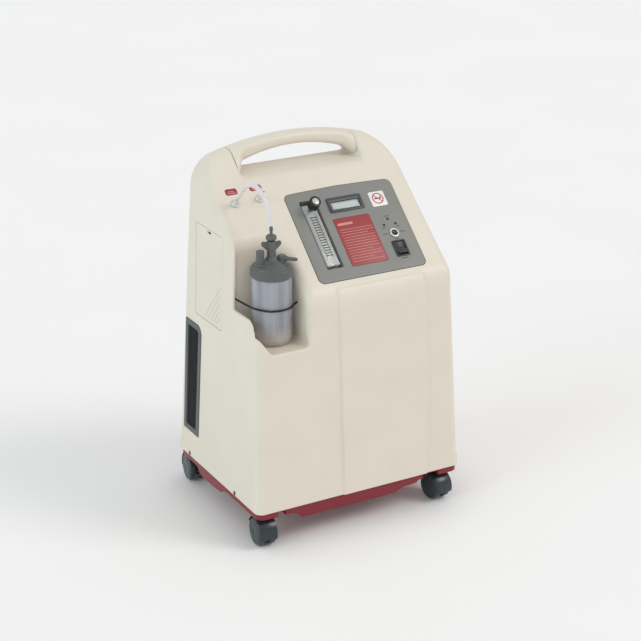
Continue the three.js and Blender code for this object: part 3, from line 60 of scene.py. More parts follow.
# ------------------------------------------------------------------ sizes, as in the CAD
BODY_W, BODY_D, HEIGHT = 400, 312, 635
BASE_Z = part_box("front_cover")[0].z / MM
TRAY_INSET = 3
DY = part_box("base_tray")[0].y / MM + BODY_D / 2 - TRAY_INSET
SIDE_DRAFT, FRONT_DRAFT, REAR_DRAFT = 0.0373, 0.0524, 0.0638
BAND_H, BAND_STEP, WALL = 21, 1.2, 3
CROWN_R, SHOULDER_R, BEND_R = 518, 35, 15
FRONT_CORNER_R, REAR_CORNER_R, SLOPE_EDGE_R = 14, 12, 8
SLOPE = math.radians(42)
SIN, COS = math.sin(SLOPE), math.cos(SLOPE)
CREST_Y = BODY_D / 2 - REAR_DRAFT * (HEIGHT - BASE_Z) - 38
CREST_Z = HEIGHT - 19
PAD_LEFT, PAD_RIGHT, PAD_PROUD, PAD_RAMP = -34.5, 129.6, 3.5, 2.6
PARTING, SEAM = 9, 0.4
SCOOP_HALF, SCOOP_FLOOR = 117, HEIGHT - 53
HANDLE_D, HANDLE_MID_H, HANDLE_END_H, HANDLE_R = 36, 20, 31, 9
HANDLE_Y1 = BODY_D / 2 - REAR_DRAFT * (HEIGHT - BASE_Z) - 2
HANDLE_Y0 = HANDLE_Y1 - HANDLE_D
# A "run" is the pair of places between which a blend goes from none to full.
LEDGE_H, LEDGE_RUN = 1.6, (12.8, 14.2)          # step across the slope under the panel
EDGE_BLEND_RUN = (-8, 14)                       # front corner's round to the slope's edge round
RECESS_R, RECESS_FLOOR_R = 39, 9
RIM_DROP, RIM_DROP_RUN = 20, (101, 134)         # side window's rim, falling to the front
SILL_RISE, SILL_RUN = 33, (-190, -157)          # front window's sill, rising to the left
REACH_RUN = (-187, -181)                        # where the front window starts to reach inward
LIP_TIGHT, LIP_RUN, LIP_BACK_RUN = 1.8, (-134, -96), (-62, -46)
SCREW_RISE = 5


def slope_origin():
    """Where the slope meets the front wall."""
    k = math.tan(SLOPE)
    z0 = CREST_Z - CREST_Y * k
    y0 = -BODY_D / 2 - FRONT_DRAFT * BASE_Z
    y = (y0 + FRONT_DRAFT * z0) / (1 - FRONT_DRAFT * k)
    return y, z0 + k * y


BEND_Y, BEND_Z = slope_origin()
RECESS_X = -BODY_W / 2 + 108
RECESS_Y = -BODY_D / 2 + 113
RECESS_FLOOR = BEND_Z - 78
RIM_Z = RECESS_FLOOR + 53
JAR_D = 67
BOTTLE_X = RECESS_X - 5.5 - JAR_D / 2
BOTTLE_Y = RECESS_Y - 5.5 - JAR_D / 2
BOTTLE_Z = RECESS_FLOOR + 2
LID_Z = BOTTLE_Z + 113
DOME_Z = LID_Z + 15
NECK_Z = DOME_Z + 15
NUT_Z = NECK_Z + 12.3
COLLAR_Z = NUT_Z + 19
STEM_TOP = COLLAR_Z + 22
PANEL_TOP = 0.8
WHEEL_D, WHEEL_W, WHEEL_GAP, TRAIL = 49, 12, 9, 20
WHEEL_R = WHEEL_D / 2


def side_x(z):
    return BODY_W / 2 - SIDE_DRAFT * (z - BASE_Z)


def front_y(z):
    return -BODY_D / 2 + FRONT_DRAFT * (z - BASE_Z)


def rear_y(z):
    return BODY_D / 2 - REAR_DRAFT * (z - BASE_Z)


def axes(x, y, z, origin):
    """A frame whose columns are its x, y and z axes and origin, in body millimetres."""
    m = Matrix.Identity(4)
    for i, v in enumerate((x, y, z, origin)):
        for j in range(3):
            m[j][i] = v[j]
    return m


WORLD = Matrix.Identity(4)
SIDE_LEAN, REAR_LEAN = math.atan(SIDE_DRAFT), math.atan(REAR_DRAFT)
SIDE_SIN, SIDE_COS = math.sin(SIDE_LEAN), math.cos(SIDE_LEAN)
REAR_SIN, REAR_COS = math.sin(REAR_LEAN), math.cos(REAR_LEAN)
ON_SLOPE = axes((1, 0, 0), (0, COS, SIN), (0, -SIN, COS), (0, BEND_Y, BEND_Z))
ON_LEFT = axes((0, -1, 0), (SIDE_SIN, 0, SIDE_COS), (-SIDE_COS, 0, SIDE_SIN),
               (-BODY_W / 2 + BAND_STEP, 0, BASE_Z))
ON_RIGHT = axes((0, 1, 0), (-SIDE_SIN, 0, SIDE_COS), (SIDE_COS, 0, SIDE_SIN),
                (BODY_W / 2 - BAND_STEP, 0, BASE_Z))
ON_REAR = axes((-1, 0, 0), (0, -REAR_SIN, REAR_COS), (0, REAR_COS, REAR_SIN),
               (0, BODY_D / 2 - BAND_STEP, BASE_Z))
TO_X = axes((0, 0, -1), (0, 1, 0), (1, 0, 0), (0, 0, 0))        # local z along +x
TO_Y = axes((1, 0, 0), (0, 0, -1), (0, 1, 0), (0, 0, 0))        # local z along +y
ACROSS = axes((0, 1, 0), (0, 0, 1), (1, 0, 0), (0, 0, 0))       # drawn in y and z, z along +x


def up_left(z):
    return (z - BASE_Z) / SIDE_COS


def up_rear(z):
    return (z - BASE_Z) / REAR_COS


def at(x, y, z):
    return Matrix.Translation((x, y, z))


# ------------------------------------------------------------------ camera, floor and light
def add_camera():
    data = bpy.data.cameras.new("camera")
    data.lens = 94.5
    data.sensor_width = 36
    data.clip_end = 20
    cam = linked("camera", data)
    cam.location = Vector((-1314.33, -2350.19 + DY, 1390.79)) * MM
    ahead = Vector((0.455206, 0.810407, -0.368819)).normalized()
    right = ahead.cross(Vector((0, 0, 1))).normalized()
    up = right.cross(ahead)
    turn = Matrix((right, up, -ahead)).transposed()
    cam.rotation_euler = turn.to_euler()
    bpy.context.scene.camera = cam


def add_sun(name, direction, strength, spread, color):
    """A distant lamp that shines from `direction`; `spread` degrees of width soften its shadow."""
    data = bpy.data.lights.new(name, "SUN")
    data.energy = strength
    data.angle = math.radians(spread)
    data.color = color
    lamp = linked(name, data)
    lamp.location = Vector(direction) * 3
    lamp.rotation_euler = Vector(direction).to_track_quat("Z", "Y").to_euler()


def add_studio():
    world = bpy.data.worlds.new("studio")
    world.use_nodes = True
    sky = world.node_tree.nodes["Background"]
    sky.inputs["Color"].default_value = (1.0, 1.0, 1.0, 1)
    sky.inputs["Strength"].default_value = 0.74
    bpy.context.scene.world = world
    add_sun("key", (0.75, -0.65, 0.9), 0.80, 24, (1.0, 0.98, 0.94))
    add_sun("left_fill", (-1.0, -0.1, 0.4), 0.74, 40, (0.72, 1.0, 1.0))
    bpy.context.scene.view_settings.view_transform = "Standard"
    bpy.ops.mesh.primitive_plane_add(size=24, location=(0, 0, 0))
    floor = bpy.context.object
    floor.name = "floor"
    floor.data.materials.append(look("floor_paint"))


# ------------------------------------------------------------------ materials
def srgb(r, g, b):
    def linear(c):
        c = c / 255
        return c / 12.92 if c <= 0.04045 else ((c + 0.055) / 1.055) ** 2.4
    return (linear(r), linear(g), linear(b), 1)


def shader(name, color, rough, spread=0.05, grain=900, bump=0.08, blotch=14, metallic=0.0,
           rough_spread=0.08, **sockets):
    """A plastic, metal or rubber: slow colour drift, fine grain in bump and roughness."""
    mat = bpy.data.materials.new(name)
    mat.use_nodes = True
    nodes, links = mat.node_tree.nodes, mat.node_tree.links
    bsdf = nodes["Principled BSDF"]
    bsdf.inputs["Metallic"].default_value = metallic
    for socket, value in sockets.items():
        bsdf.inputs[socket.replace("_", " ")].default_value = value
    coord = nodes.new("ShaderNodeTexCoord")
    slow = nodes.new("ShaderNodeTexNoise")
    slow.inputs["Scale"].default_value = blotch
    slow.inputs["Detail"].default_value = 4
    fine = nodes.new("ShaderNodeTexNoise")
    fine.inputs["Scale"].default_value = grain
    fine.inputs["Detail"].default_value = 2
    links.new(coord.outputs["Object"], slow.inputs["Vector"])
    links.new(coord.outputs["Object"], fine.inputs["Vector"])
    ramp = nodes.new("ShaderNodeValToRGB")
    base = srgb(*color)
    low = [max(c * (1 - spread), 0) for c in base[:3]]
    high = [min(c * (1 + spread), 1) for c in base[:3]]
    ramp.color_ramp.elements[0].position = 0.3
    ramp.color_ramp.elements[1].position = 0.7
    ramp.color_ramp.elements[0].color = (*low, 1)
    ramp.color_ramp.elements[1].color = (*high, 1)
    links.new(slow.outputs["Fac"], ramp.inputs["Fac"])
    links.new(ramp.outputs["Color"], bsdf.inputs["Base Color"])
    scale = nodes.new("ShaderNodeMapRange")
    scale.inputs["From Min"].default_value = 0.3
    scale.inputs["From Max"].default_value = 0.7
    scale.inputs["To Min"].default_value = max(rough - rough_spread, 0.02)
    scale.inputs["To Max"].default_value = min(rough + rough_spread, 1)
    links.new(fine.outputs["Fac"], scale.inputs["Value"])
    links.new(scale.outputs["Result"], bsdf.inputs["Roughness"])
    if bump > 0:
        dent = nodes.new("ShaderNodeBump")
        dent.inputs["Strength"].default_value = bump
        dent.inputs["Distance"].default_value = 0.0002
        links.new(fine.outputs["Fac"], dent.inputs["Height"])
        links.new(dent.outputs["Normal"], bsdf.inputs["Normal"])
    return mat


LOOKS = {
    "floor_paint": dict(color=(246, 245, 245), rough=0.7, spread=0.01, grain=60, bump=0, blotch=2),
    "shell_plastic": dict(color=(222, 213, 199), rough=0.4, spread=0.02, grain=1500, bump=0.1),
    "tray_plastic": dict(color=(126, 20, 36), rough=0.36, spread=0.07, grain=1200, bump=0.12),
    "panel_plastic": dict(color=(131, 131, 127), rough=0.5, spread=0.04, grain=1800, bump=0.16),
    "lid_plastic": dict(color=(90, 92, 91), rough=0.3, spread=0.06, grain=900, bump=0.1),
    "black_plastic": dict(color=(28, 28, 29), rough=0.32, spread=0.15, grain=1400, bump=0.12),
    "bezel_plastic": dict(color=(62, 66, 72), rough=0.34, spread=0.1, grain=1300, bump=0.08),
    "caster_plastic": dict(color=(38, 47, 52), rough=0.26, spread=0.12, grain=1000, bump=0.08),
    "caster_tread": dict(color=(44, 57, 61), rough=0.28, spread=0.1, grain=900, bump=0.08),
    "red_film": dict(color=(156, 56, 56), rough=0.42, spread=0.04, grain=2000, bump=0.05),
    "pale_ink": dict(color=(205, 140, 132), rough=0.5, spread=0.05, grain=2500, bump=0.02),
    "white_film": dict(color=(232, 229, 228), rough=0.4, spread=0.02, grain=2000, bump=0.04),
    "red_ink": dict(color=(196, 92, 92), rough=0.45, spread=0.05, grain=2500, bump=0.02),
    "dark_ink": dict(color=(52, 52, 52), rough=0.5, spread=0.08, grain=2500, bump=0.02),
    "port_label_film": dict(color=(156, 40, 46), rough=0.4, spread=0.06, grain=2200, bump=0.04),
    "hatch_ink": dict(color=(190, 184, 170), rough=0.5, spread=0.03, grain=2500, bump=0.02),
    "chrome": dict(color=(226, 226, 228), rough=0.14, spread=0.03, grain=700, bump=0.03, metallic=1,
                   rough_spread=0.05),
    "steel": dict(color=(150, 152, 154), rough=0.34, spread=0.08, grain=500, bump=0.1, metallic=1),
    "aluminium": dict(color=(178, 180, 183), rough=0.42, spread=0.06, grain=420, bump=0.2, metallic=1),
    "elastic_rubber": dict(color=(22, 22, 24), rough=0.7, spread=0.2, grain=2600, bump=0.35),
    "filter_foam": dict(color=(17, 18, 21), rough=0.95, spread=0.5, grain=420, bump=1.0, blotch=260),
    "screen_face": dict(color=(176, 184, 184), rough=0.16, spread=0.03, grain=500, bump=0, blotch=30),
    "circuit_board": dict(color=(42, 96, 62), rough=0.45, spread=0.1, grain=800, bump=0.1),
    "diffuser_stone": dict(color=(222, 222, 216), rough=0.85, spread=0.06, grain=700, bump=0.6),
    "knob_metal": dict(color=(196, 197, 200), rough=0.28, spread=0.05, grain=500, bump=0.05,
                       metallic=0.8),
    "white_plastic": dict(color=(236, 234, 230), rough=0.3, spread=0.02, grain=900, bump=0.05),
    "clear_acrylic": dict(color=(226, 228, 226), rough=0.06, spread=0.04, grain=300, bump=0.02,
                          blotch=60, rough_spread=0.03, Alpha=0.45, IOR=1.49),
    "frosted_tube": dict(color=(242, 243, 243), rough=0.12, spread=0.08, grain=400, bump=0.04,
                         blotch=160, Alpha=0.85),
    "clear_tube": dict(color=(240, 234, 235), rough=0.14, spread=0.02, grain=500, bump=0.03,
                       rough_spread=0.05, Alpha=0.62, IOR=1.4),
    "display_field": dict(color=(196, 203, 201), rough=0.12, spread=0.02, grain=400, bump=0, blotch=60),
    "rocker_plastic": dict(color=(46, 46, 48), rough=0.2, spread=0.1, grain=700, bump=0.04),
    "filter_plastic": dict(color=(84, 88, 92), rough=0.45, spread=0.06, grain=1500, bump=0.12),
    "jar_plastic": dict(color=(186, 188, 198), rough=0.2, spread=0.05, grain=300, bump=0.02, blotch=26,
                        rough_spread=0.05, Alpha=0.46, IOR=1.4),
}
made = {}


def look(name):
    """The material of that name, made when first asked for."""
    if name not in made:
        made[name] = shader(name, **LOOKS[name])
        # The jar's colour gets painted reflection streaks and a paler foot.
        if name == "jar_plastic":
            painted_reflection_streaks(made[name])
    return made[name]


def painted_reflection_streaks(mat):
    """Painted reflections: lighter and darker streaks up the jar's wall, and a paler foot."""
    nodes, links = mat.node_tree.nodes, mat.node_tree.links
    blotch = LOOKS["jar_plastic"]["blotch"]
    coord = next(n for n in nodes if n.type == "TEX_COORD")
    slow = next(n for n in nodes if n.type == "TEX_NOISE" and n.inputs["Scale"].default_value == blotch)
    squeeze = nodes.new("ShaderNodeMapping")
    squeeze.inputs["Scale"].default_value = (2.2, 2.2, 0.12)
    links.new(coord.outputs["Object"], squeeze.inputs["Vector"])
    links.new(squeeze.outputs["Vector"], slow.inputs["Vector"])
    split = nodes.new("ShaderNodeSeparateXYZ")
    links.new(coord.outputs["Object"], split.inputs["Vector"])
    rise = nodes.new("ShaderNodeMapRange")
    rise.inputs["From Min"].default_value = (BOTTLE_Z + 14) * MM
    rise.inputs["From Max"].default_value = (BOTTLE_Z + 34) * MM
    links.new(split.outputs["Z"], rise.inputs["Value"])
    # The streaks' colours: painted reflections, stretched up the wall by the squeezed noise.
    ramp = next(n for n in nodes if n.type == "VALTORGB")
    ramp.color_ramp.elements[0].color = srgb(160, 163, 176)
    ramp.color_ramp.elements[1].color = srgb(212, 214, 220)
    mix = nodes.new("ShaderNodeMix")
    mix.data_type = "RGBA"
    factor, foot, wall = mix.inputs[0], mix.inputs[6], mix.inputs[7]
    foot.default_value = srgb(212, 204, 196)
    links.new(rise.outputs["Result"], factor)
    links.new(ramp.outputs["Color"], wall)
    links.new(mix.outputs[2], nodes["Principled BSDF"].inputs["Base Color"])


# ------------------------------------------------------------------ mesh tools
def rounded(corners, step=8):
    """The points of an outline through corners (x, y, radius), with arcs of `step` degrees."""
    out = []
    count = len(corners)
    for i, corner in enumerate(corners):
        here = Vector(corner[:2])
        r = corner[2] if len(corner) > 2 else 0
        if r <= 0:
            out.append(tuple(here))
            continue
        before = (Vector(corners[i - 1][:2]) - here).normalized()
        after = (Vector(corners[(i + 1) % count][:2]) - here).normalized()
        half = math.acos(max(-1, min(1, before.dot(after)))) / 2
        middle = here + (before + after).normalized() * (r / math.sin(half))
        start = here + before * (r / math.tan(half)) - middle
        end = here + after * (r / math.tan(half)) - middle
        a0 = math.atan2(start.y, start.x)
        turn = (math.atan2(end.y, end.x) - a0 + math.pi) % (2 * math.pi) - math.pi
        parts = max(2, round(abs(math.degrees(turn)) / step))
        for k in range(parts + 1):
            a = a0 + turn * k / parts
            out.append((middle.x + r * math.cos(a), middle.y + r * math.sin(a)))
    return out


def rect(x0, y0, x1, y1, r=0.0, step=8):
    return rounded([(x0, y0, r), (x1, y0, r), (x1, y1, r), (x0, y1, r)], step)


def grown(box, grow, r=0.0):
    """The rectangle (x0, y0, x1, y1), grown all round."""
    x0, y0, x1, y1 = box
    return rect(x0 - grow, y0 - grow, x1 + grow, y1 + grow, r)


def centred(middle, half_w, half_h, r=0.0):
    x, y = middle
    return rect(x - half_w, y - half_h, x + half_w, y + half_h, r)


def rod(r, z0, z1):
    """The profile of a plain round bar."""
    return [(0, z0), (r, z0), (r, z1), (0, z1)]


def circle(x, y, d, parts=48):
    turn = [2 * math.pi * i / parts for i in range(parts)]
    return [(x + d / 2 * math.cos(a), y + d / 2 * math.sin(a)) for a in turn]


def linked(name, data):
    """A new object of the scene that shows the mesh, lamp or camera."""
    obj = bpy.data.objects.new(name, data)
    bpy.context.scene.collection.objects.link(obj)
    return obj


def mesh_object(name, verts, faces, matrix=WORLD):
    """A mesh placed in the row frame: body millimetres, moved by DY, in metres."""
    place = Matrix.Scale(MM, 4) @ Matrix.Translation((0, DY, 0)) @ matrix
    mesh = bpy.data.meshes.new(name)
    mesh.from_pydata([tuple(v) for v in verts], [], [tuple(f) for f in faces])
    mesh.transform(place)
    mesh.update()
    obj = linked(name, mesh)
    outward(obj)
    return obj


def outward(obj):
    """Merges points that meet, and turns every face outward."""
    work = bmesh.new()
    work.from_mesh(obj.data)
    bmesh.ops.remove_doubles(work, verts=work.verts, dist=1e-7)
    bmesh.ops.recalc_face_normals(work, faces=work.faces)
    work.to_mesh(obj.data)
    work.free()


def baked(obj):
    """Applies the object's modifiers to its mesh."""
    graph = bpy.context.evaluated_depsgraph_get()
    mesh = bpy.data.meshes.new_from_object(obj.evaluated_get(graph))
    old = obj.data
    obj.modifiers.clear()
    obj.data = mesh
    bpy.data.meshes.remove(old)
    return obj


def bevelled(obj, width, parts=3, angle=40):
    modifier = obj.modifiers.new("edge", "BEVEL")
    modifier.width = width * MM
    modifier.segments = parts
    modifier.limit_method = "ANGLE"
    modifier.angle_limit = math.radians(angle)
    modifier.harden_normals = False
    modifier.use_clamp_overlap = True
    return baked(obj)


def boolean(obj, tool, operation):
    modifier = obj.modifiers.new("boolean", "BOOLEAN")
    modifier.object = tool
    modifier.operation = operation
    modifier.solver = "MANIFOLD"
    baked(obj)
    bpy.data.objects.remove(tool)


def cut(obj, *tools):
    for tool in tools:
        boolean(obj, tool, "DIFFERENCE")
    return obj


def add(obj, *tools):
    for tool in tools:
        boolean(obj, tool, "UNION")
    return obj


def slab(name, points, z0, z1, matrix=WORLD, bevel=0.0, parts=3):
    """A flat shape raised from z0 to z1 in its frame, with a bevelled rim."""
    n = len(points)
    verts = [(x, y, z0) for x, y in points] + [(x, y, z1) for x, y in points]
    faces = [tuple(reversed(range(n))), tuple(range(n, 2 * n))]
    faces += [(i, (i + 1) % n, n + (i + 1) % n, n + i) for i in range(n)]
    obj = mesh_object(name, verts, faces, matrix)
    return bevelled(obj, bevel, parts) if bevel > 0 else obj


def plate(name, points, low, high, bevel=0.0, parts=3):
    """A slab on the slope."""
    return slab(name, points, low, high, ON_SLOPE, bevel, parts)


def lathe(name, profile, matrix=WORLD, around=64, step=12):
    """A turned shape about its frame's z; the profile holds (radius, z, round) corners."""
    closed = profile[0][0] > 0 or profile[-1][0] > 0
    points = rounded(profile, step) if closed else rounded_path(profile, step)
    verts, rows = [], []
    for r, z in points:
        if r < 1e-6:
            rows.append([len(verts)])
            verts.append((0, 0, z))
            continue
        rows.append(list(range(len(verts), len(verts) + around)))
        for i in range(around):
            a = 2 * math.pi * i / around
            verts.append((r * math.cos(a), r * math.sin(a), z))
    pairs = list(zip(rows, rows[1:] + rows[:1])) if closed else list(zip(rows, rows[1:]))
    faces = []
    for low, high in pairs:
        for i in range(around):
            j = (i + 1) % around
            if len(low) == 1 and len(high) == 1:
                continue
            if len(low) == 1:
                faces.append((low[0], high[j], high[i]))
            elif len(high) == 1:
                faces.append((low[i], low[j], high[0]))
            else:
                faces.append((low[i], low[j], high[j], high[i]))
    return mesh_object(name, verts, faces, matrix)


def rounded_path(profile, step):
    """An open profile whose inner corners are rounded."""
    out = [tuple(profile[0][:2])]
    for i in range(1, len(profile) - 1):
        r = profile[i][2] if len(profile[i]) > 2 else 0
        if r <= 0:
            out.append(tuple(profile[i][:2]))
            continue
        arc = rounded([profile[i - 1][:2], (*profile[i][:2], r), profile[i + 1][:2]], step)
        out += arc[1:-1]
    out.append(tuple(profile[-1][:2]))
    return out


def smooth_curve(points, parts=8):
    """Catmull-Rom points through the given ones."""
    pts = [Vector(p) for p in points]
    pts = [pts[0] * 2 - pts[1], *pts, pts[-1] * 2 - pts[-2]]
    out = []
    for a, b, c, d in zip(pts, pts[1:], pts[2:], pts[3:]):
        for k in range(parts):
            t = k / parts
            out.append(0.5 * (2 * b + (c - a) * t + (2 * a - 5 * b + 4 * c - d) * t * t
                              + (3 * b - a - 3 * c + d) * t ** 3))
    out.append(pts[-2])
    return out


def sweep(name, path, radius, matrix=WORLD, around=20, bore=0.0):
    """A round bar, or a hollow tube with `bore`, along a path of points."""
    radii = radius if callable(radius) else (lambda t: radius)
    verts = rings(path, radii, around)
    faces = skin(len(path), around, 0)
    if bore > 0:
        offset = len(verts)
        verts += rings(path, lambda t: bore, around)
        faces += [tuple(reversed(f)) for f in skin(len(path), around, offset)]
        last = (len(path) - 1) * around
        for i in range(around):
            j = (i + 1) % around
            faces.append((i, offset + i, offset + j, j))
            faces.append((last + i, last + j, offset + last + j, offset + last + i))
    else:
        faces.append(tuple(range(around)))
        faces.append(tuple(reversed(range((len(path) - 1) * around, len(path) * around))))
    return mesh_object(name, verts, faces, matrix)


def rings(path, radii, around):
    """The points of the rings round a path, one ring after another."""
    tangent = [(path[min(i + 1, len(path) - 1)] - path[max(i - 1, 0)]).normalized()
               for i in range(len(path))]
    side = tangent[0].orthogonal().normalized()
    angles = [2 * math.pi * k / around for k in range(around)]
    points = []
    for i, (p, t) in enumerate(zip(path, tangent)):
        side = (side - t * side.dot(t)).normalized()
        other = t.cross(side)
        r = radii(i / (len(path) - 1))
        points += [p + (side * math.cos(a) + other * math.sin(a)) * r for a in angles]
    return points


def skin(rows, around, offset):
    """The quads between neighbouring rings."""
    faces = []
    for i in range(rows - 1):
        for k in range(around):
            j = (k + 1) % around
            a, b = offset + i * around, offset + (i + 1) * around
            faces.append((a + k, a + j, b + j, b + k))
    return faces


def dress(obj, look_name, replaces=(), body="main", angle=32):
    """Gives a piece its material, smooth shading with sharp edges by angle, and body, and hides the CAD
    parts it replaces.
    """
    obj.data.materials.clear()
    obj.data.materials.append(look(look_name))
    obj.data.shade_smooth()
    obj.data.set_sharp_from_angle(angle=math.radians(angle))
    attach(obj, body)
    if replaces:
        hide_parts(*replaces)
    return obj


def joined(name, objects):
    """One object of the given name from several."""
    work = bmesh.new()
    for obj in objects:
        work.from_mesh(obj.data)
        bpy.data.objects.remove(obj)
    mesh = bpy.data.meshes.new(name)
    work.to_mesh(mesh)
    work.free()
    return linked(name, mesh)


# ------------------------------------------------------------------ moulded shells as fields
def fillet(a, b, r):
    """Intersection of two fields with a round of radius r along their edge."""
    u, v = np.maximum(a + r, 0), np.maximum(b + r, 0)
    return np.minimum(-r, np.maximum(a, b)) + np.sqrt(u * u + v * v)


def smooth_step(x, low, high):
    t = np.clip((x - low) / (high - low), 0, 1)
    return t * t * (3 - 2 * t)


def slope_height(y, z):
    return (z - BEND_Z) * COS - (y - BEND_Y) * SIN


def slope_run(y, z):
    return (y - BEND_Y) * COS + (z - BEND_Z) * SIN


def pad_height(x):
    """1 on the raised pad of the front wall and 0 beside it."""
    rise = smooth_step(x, PAD_LEFT - PAD_RAMP, PAD_LEFT)
    return rise * (1 - smooth_step(x, PAD_RIGHT, PAD_RIGHT + PAD_RAMP))


def body_field(x, y, z, inset, pad):
    """Distance outside the drafted body without its band, scoop or recess."""
    rise = z - BASE_Z
    cs, cf, cr = (1 / math.hypot(1, d) for d in (SIDE_DRAFT, FRONT_DRAFT, REAR_DRAFT))
    side = (np.abs(x) - (BODY_W / 2 - inset - SIDE_DRAFT * rise)) * cs
    front = (-y - (BODY_D / 2 - inset - FRONT_DRAFT * rise) - pad) * cf
    rear = (y - (BODY_D / 2 - inset - REAR_DRAFT * rise)) * cr
    grow = inset - BAND_STEP
    step = LEDGE_H * pad / PAD_PROUD * (1 - smooth_step(slope_run(y, z), *LEDGE_RUN))
    slope = slope_height(y, z) + grow - step
    crown = np.sqrt(x * x + (z - (HEIGHT - CROWN_R)) ** 2) - CROWN_R + grow
    walls = fillet(side, crown, SHOULDER_R)
    lean = smooth_step(slope_run(y, z), *EDGE_BLEND_RUN)
    edge = FRONT_CORNER_R + (SLOPE_EDGE_R - FRONT_CORNER_R) * lean
    walls = fillet(walls, fillet(front, slope, BEND_R), edge)
    return fillet(walls, rear, REAR_CORNER_R)


def recess_field(x, y, z):
    """Negative inside the bottle recess and its open windows."""
    column = fillet(x - RECESS_X, y - RECESS_Y, RECESS_R)
    column = fillet(column, RECESS_FLOOR - z, RECESS_FLOOR_R)
    wall = BAND_STEP + WALL + 1.6
    left = -(x + side_x(z) - wall)
    front = -(y - front_y(z) - wall)
    held = fillet(fillet(left, front, 12), column, 7)
    rim = RIM_Z + 1 - RIM_DROP * smooth_step(-y, *RIM_DROP_RUN)
    side_window = fillet(fillet(y - RECESS_Y + 7, rim - z, 5), x - BOTTLE_X + 12, 2)
    sill = RECESS_FLOOR + SILL_RISE * (1 - smooth_step(x, *SILL_RUN))
    reach = 11 + 14 * smooth_step(x, *REACH_RUN)
    front_window = fillet(fillet(sill - z, x - RECESS_X, 9), y - front_y(z) - reach, 2)
    return np.minimum(np.minimum(held, side_window), front_window)


def scoop_field(x, z, grow=0.0):
    """Negative inside the hand opening under the handle."""
    return fillet(np.abs(x) - SCOOP_HALF - grow, SCOOP_FLOOR - grow - z, 9)


def recess_lip(x, y, z):
    """The round of the recess's edge: wide beside the panel, tight along its windows."""
    inward = smooth_step(x, *LIP_RUN)
    above = smooth_step(z, RECESS_FLOOR - 6, RECESS_FLOOR + 30)
    wide = LIP_TIGHT + 13 * inward + 9 * smooth_step(y, *LIP_BACK_RUN) * (1 - inward)
    soft = wide * above + 2.5 * (1 - above)
    from_wall = -side_x(400)
    return LIP_TIGHT + (soft - LIP_TIGHT) * smooth_step(x, from_wall + 2, from_wall + 16)


def cover_field(x, y, z):
    """The closed outer form of both covers."""
    pad = PAD_PROUD * pad_height(x)
    upper = body_field(x, y, z, BAND_STEP, pad)
    band = fillet(body_field(x, y, z, 0, pad * 0.66), z - BASE_Z - BAND_H, 0.4)
    whole = fillet(np.minimum(upper, band), BASE_Z - z, 1.5)
    whole = fillet(whole, -scoop_field(x, z), 4)
    return fillet(whole, -recess_field(x, y, z), recess_lip(x, y, z))


def inner_field(x, y, z):
    """The covers' inside, which runs out of the open bottom."""
    body = body_field(x, y, z, BAND_STEP + WALL + 1.2, 0 * x)
    scoop = -scoop_field(x, z, WALL + 1)
    beside = np.maximum(x - RECESS_X - 8, y - RECESS_Y - 6)
    recess = -np.maximum(beside, RECESS_FLOOR - 5 - z)
    closed = np.maximum(np.maximum(body, scoop), recess)
    return np.maximum(closed, BASE_Z - 9 - z)


def handle_field(x, y, z):
    """The arched grip, whose ends grow into the shoulders' own section."""
    crown_z = HEIGHT - CROWN_R
    end = SCOOP_HALF - 0.1
    sag = HANDLE_END_H - HANDLE_MID_H + CROWN_R - math.sqrt(CROWN_R ** 2 - end ** 2)
    under_r = (end * end + sag * sag) / (2 * sag)
    under_z = HEIGHT - HANDLE_MID_H - under_r
    near = smooth_step(np.abs(x), 70, end)
    root = smooth_step(np.abs(x), end - 22, end) * (1 - 0.5 * smooth_step(x, -10, 10))
    top = np.sqrt(x * x + (z - crown_z) ** 2) - CROWN_R
    under = under_r - np.sqrt(x * x + (z - under_z) ** 2) - 12 * root
    rear = y - (rear_y(z) - BAND_STEP - 2 * (1 - near))
    front = -(y - (HANDLE_Y0 - 22 * root))
    slope = slope_height(y, z) - 18 * (1 - near)
    upper = fillet(top, slope, HANDLE_R + (SLOPE_EDGE_R - HANDLE_R) * near)
    upper = fillet(upper, rear, HANDLE_R + (REAR_CORNER_R - HANDLE_R) * near)
    bar = fillet(fillet(upper, front, HANDLE_R), under, HANDLE_R)
    return np.maximum(bar, np.abs(x) - end)


def grid_line(*stops):
    """Grid places along an axis: start, then pairs of (end, spacing)."""
    places = [stops[0]]
    for end, spacing in stops[1:]:
        count = max(1, round((end - places[-1]) / spacing))
        places += list(np.linspace(places[-1], end, count + 1)[1:])
    return np.array(places)


def shifted(array, corner):
    """The array seen from one corner of its cells."""
    return array[tuple(slice(c, n - 1 + c) for c, n in zip(corner, array.shape))]


def surface_net(field, grid):
    """The zero surface of a field as points and quads, one point in each crossed cell."""
    counts = [len(line) for line in grid]
    x, y, z = np.meshgrid(*grid, indexing="ij", sparse=True)
    f = np.asarray(field(x, y, z), np.float32)
    inside = f < 0
    corners = [(i, j, k) for i in (0, 1) for j in (0, 1) for k in (0, 1)]
    total = sum(shifted(inside, c).astype(np.int8) for c in corners)
    cells = np.argwhere((total > 0) & (total < 8))
    number = -np.ones([n - 1 for n in counts], np.int64)
    number[tuple(cells.T)] = np.arange(len(cells))
    spot = np.zeros((len(cells), 3))
    hits = np.zeros(len(cells))
    for a in corners:
        for axis in range(3):
            if a[axis]:
                continue
            b = list(a)
            b[axis] = 1
            fa = f[tuple((cells + a).T)]
            fb = f[tuple((cells + b).T)]
            crossed = (fa < 0) != (fb < 0)
            t = np.where(crossed, fa / np.where(crossed, fa - fb, 1), 0)
            point = cells + np.array(a, float)
            point[:, axis] += t
            spot += point * crossed[:, None]
            hits += crossed
    spot /= hits[:, None]
    verts = np.stack([np.interp(spot[:, i], np.arange(counts[i]), grid[i]) for i in range(3)], 1)
    return settled(field, verts), crossed_quads(inside, number)


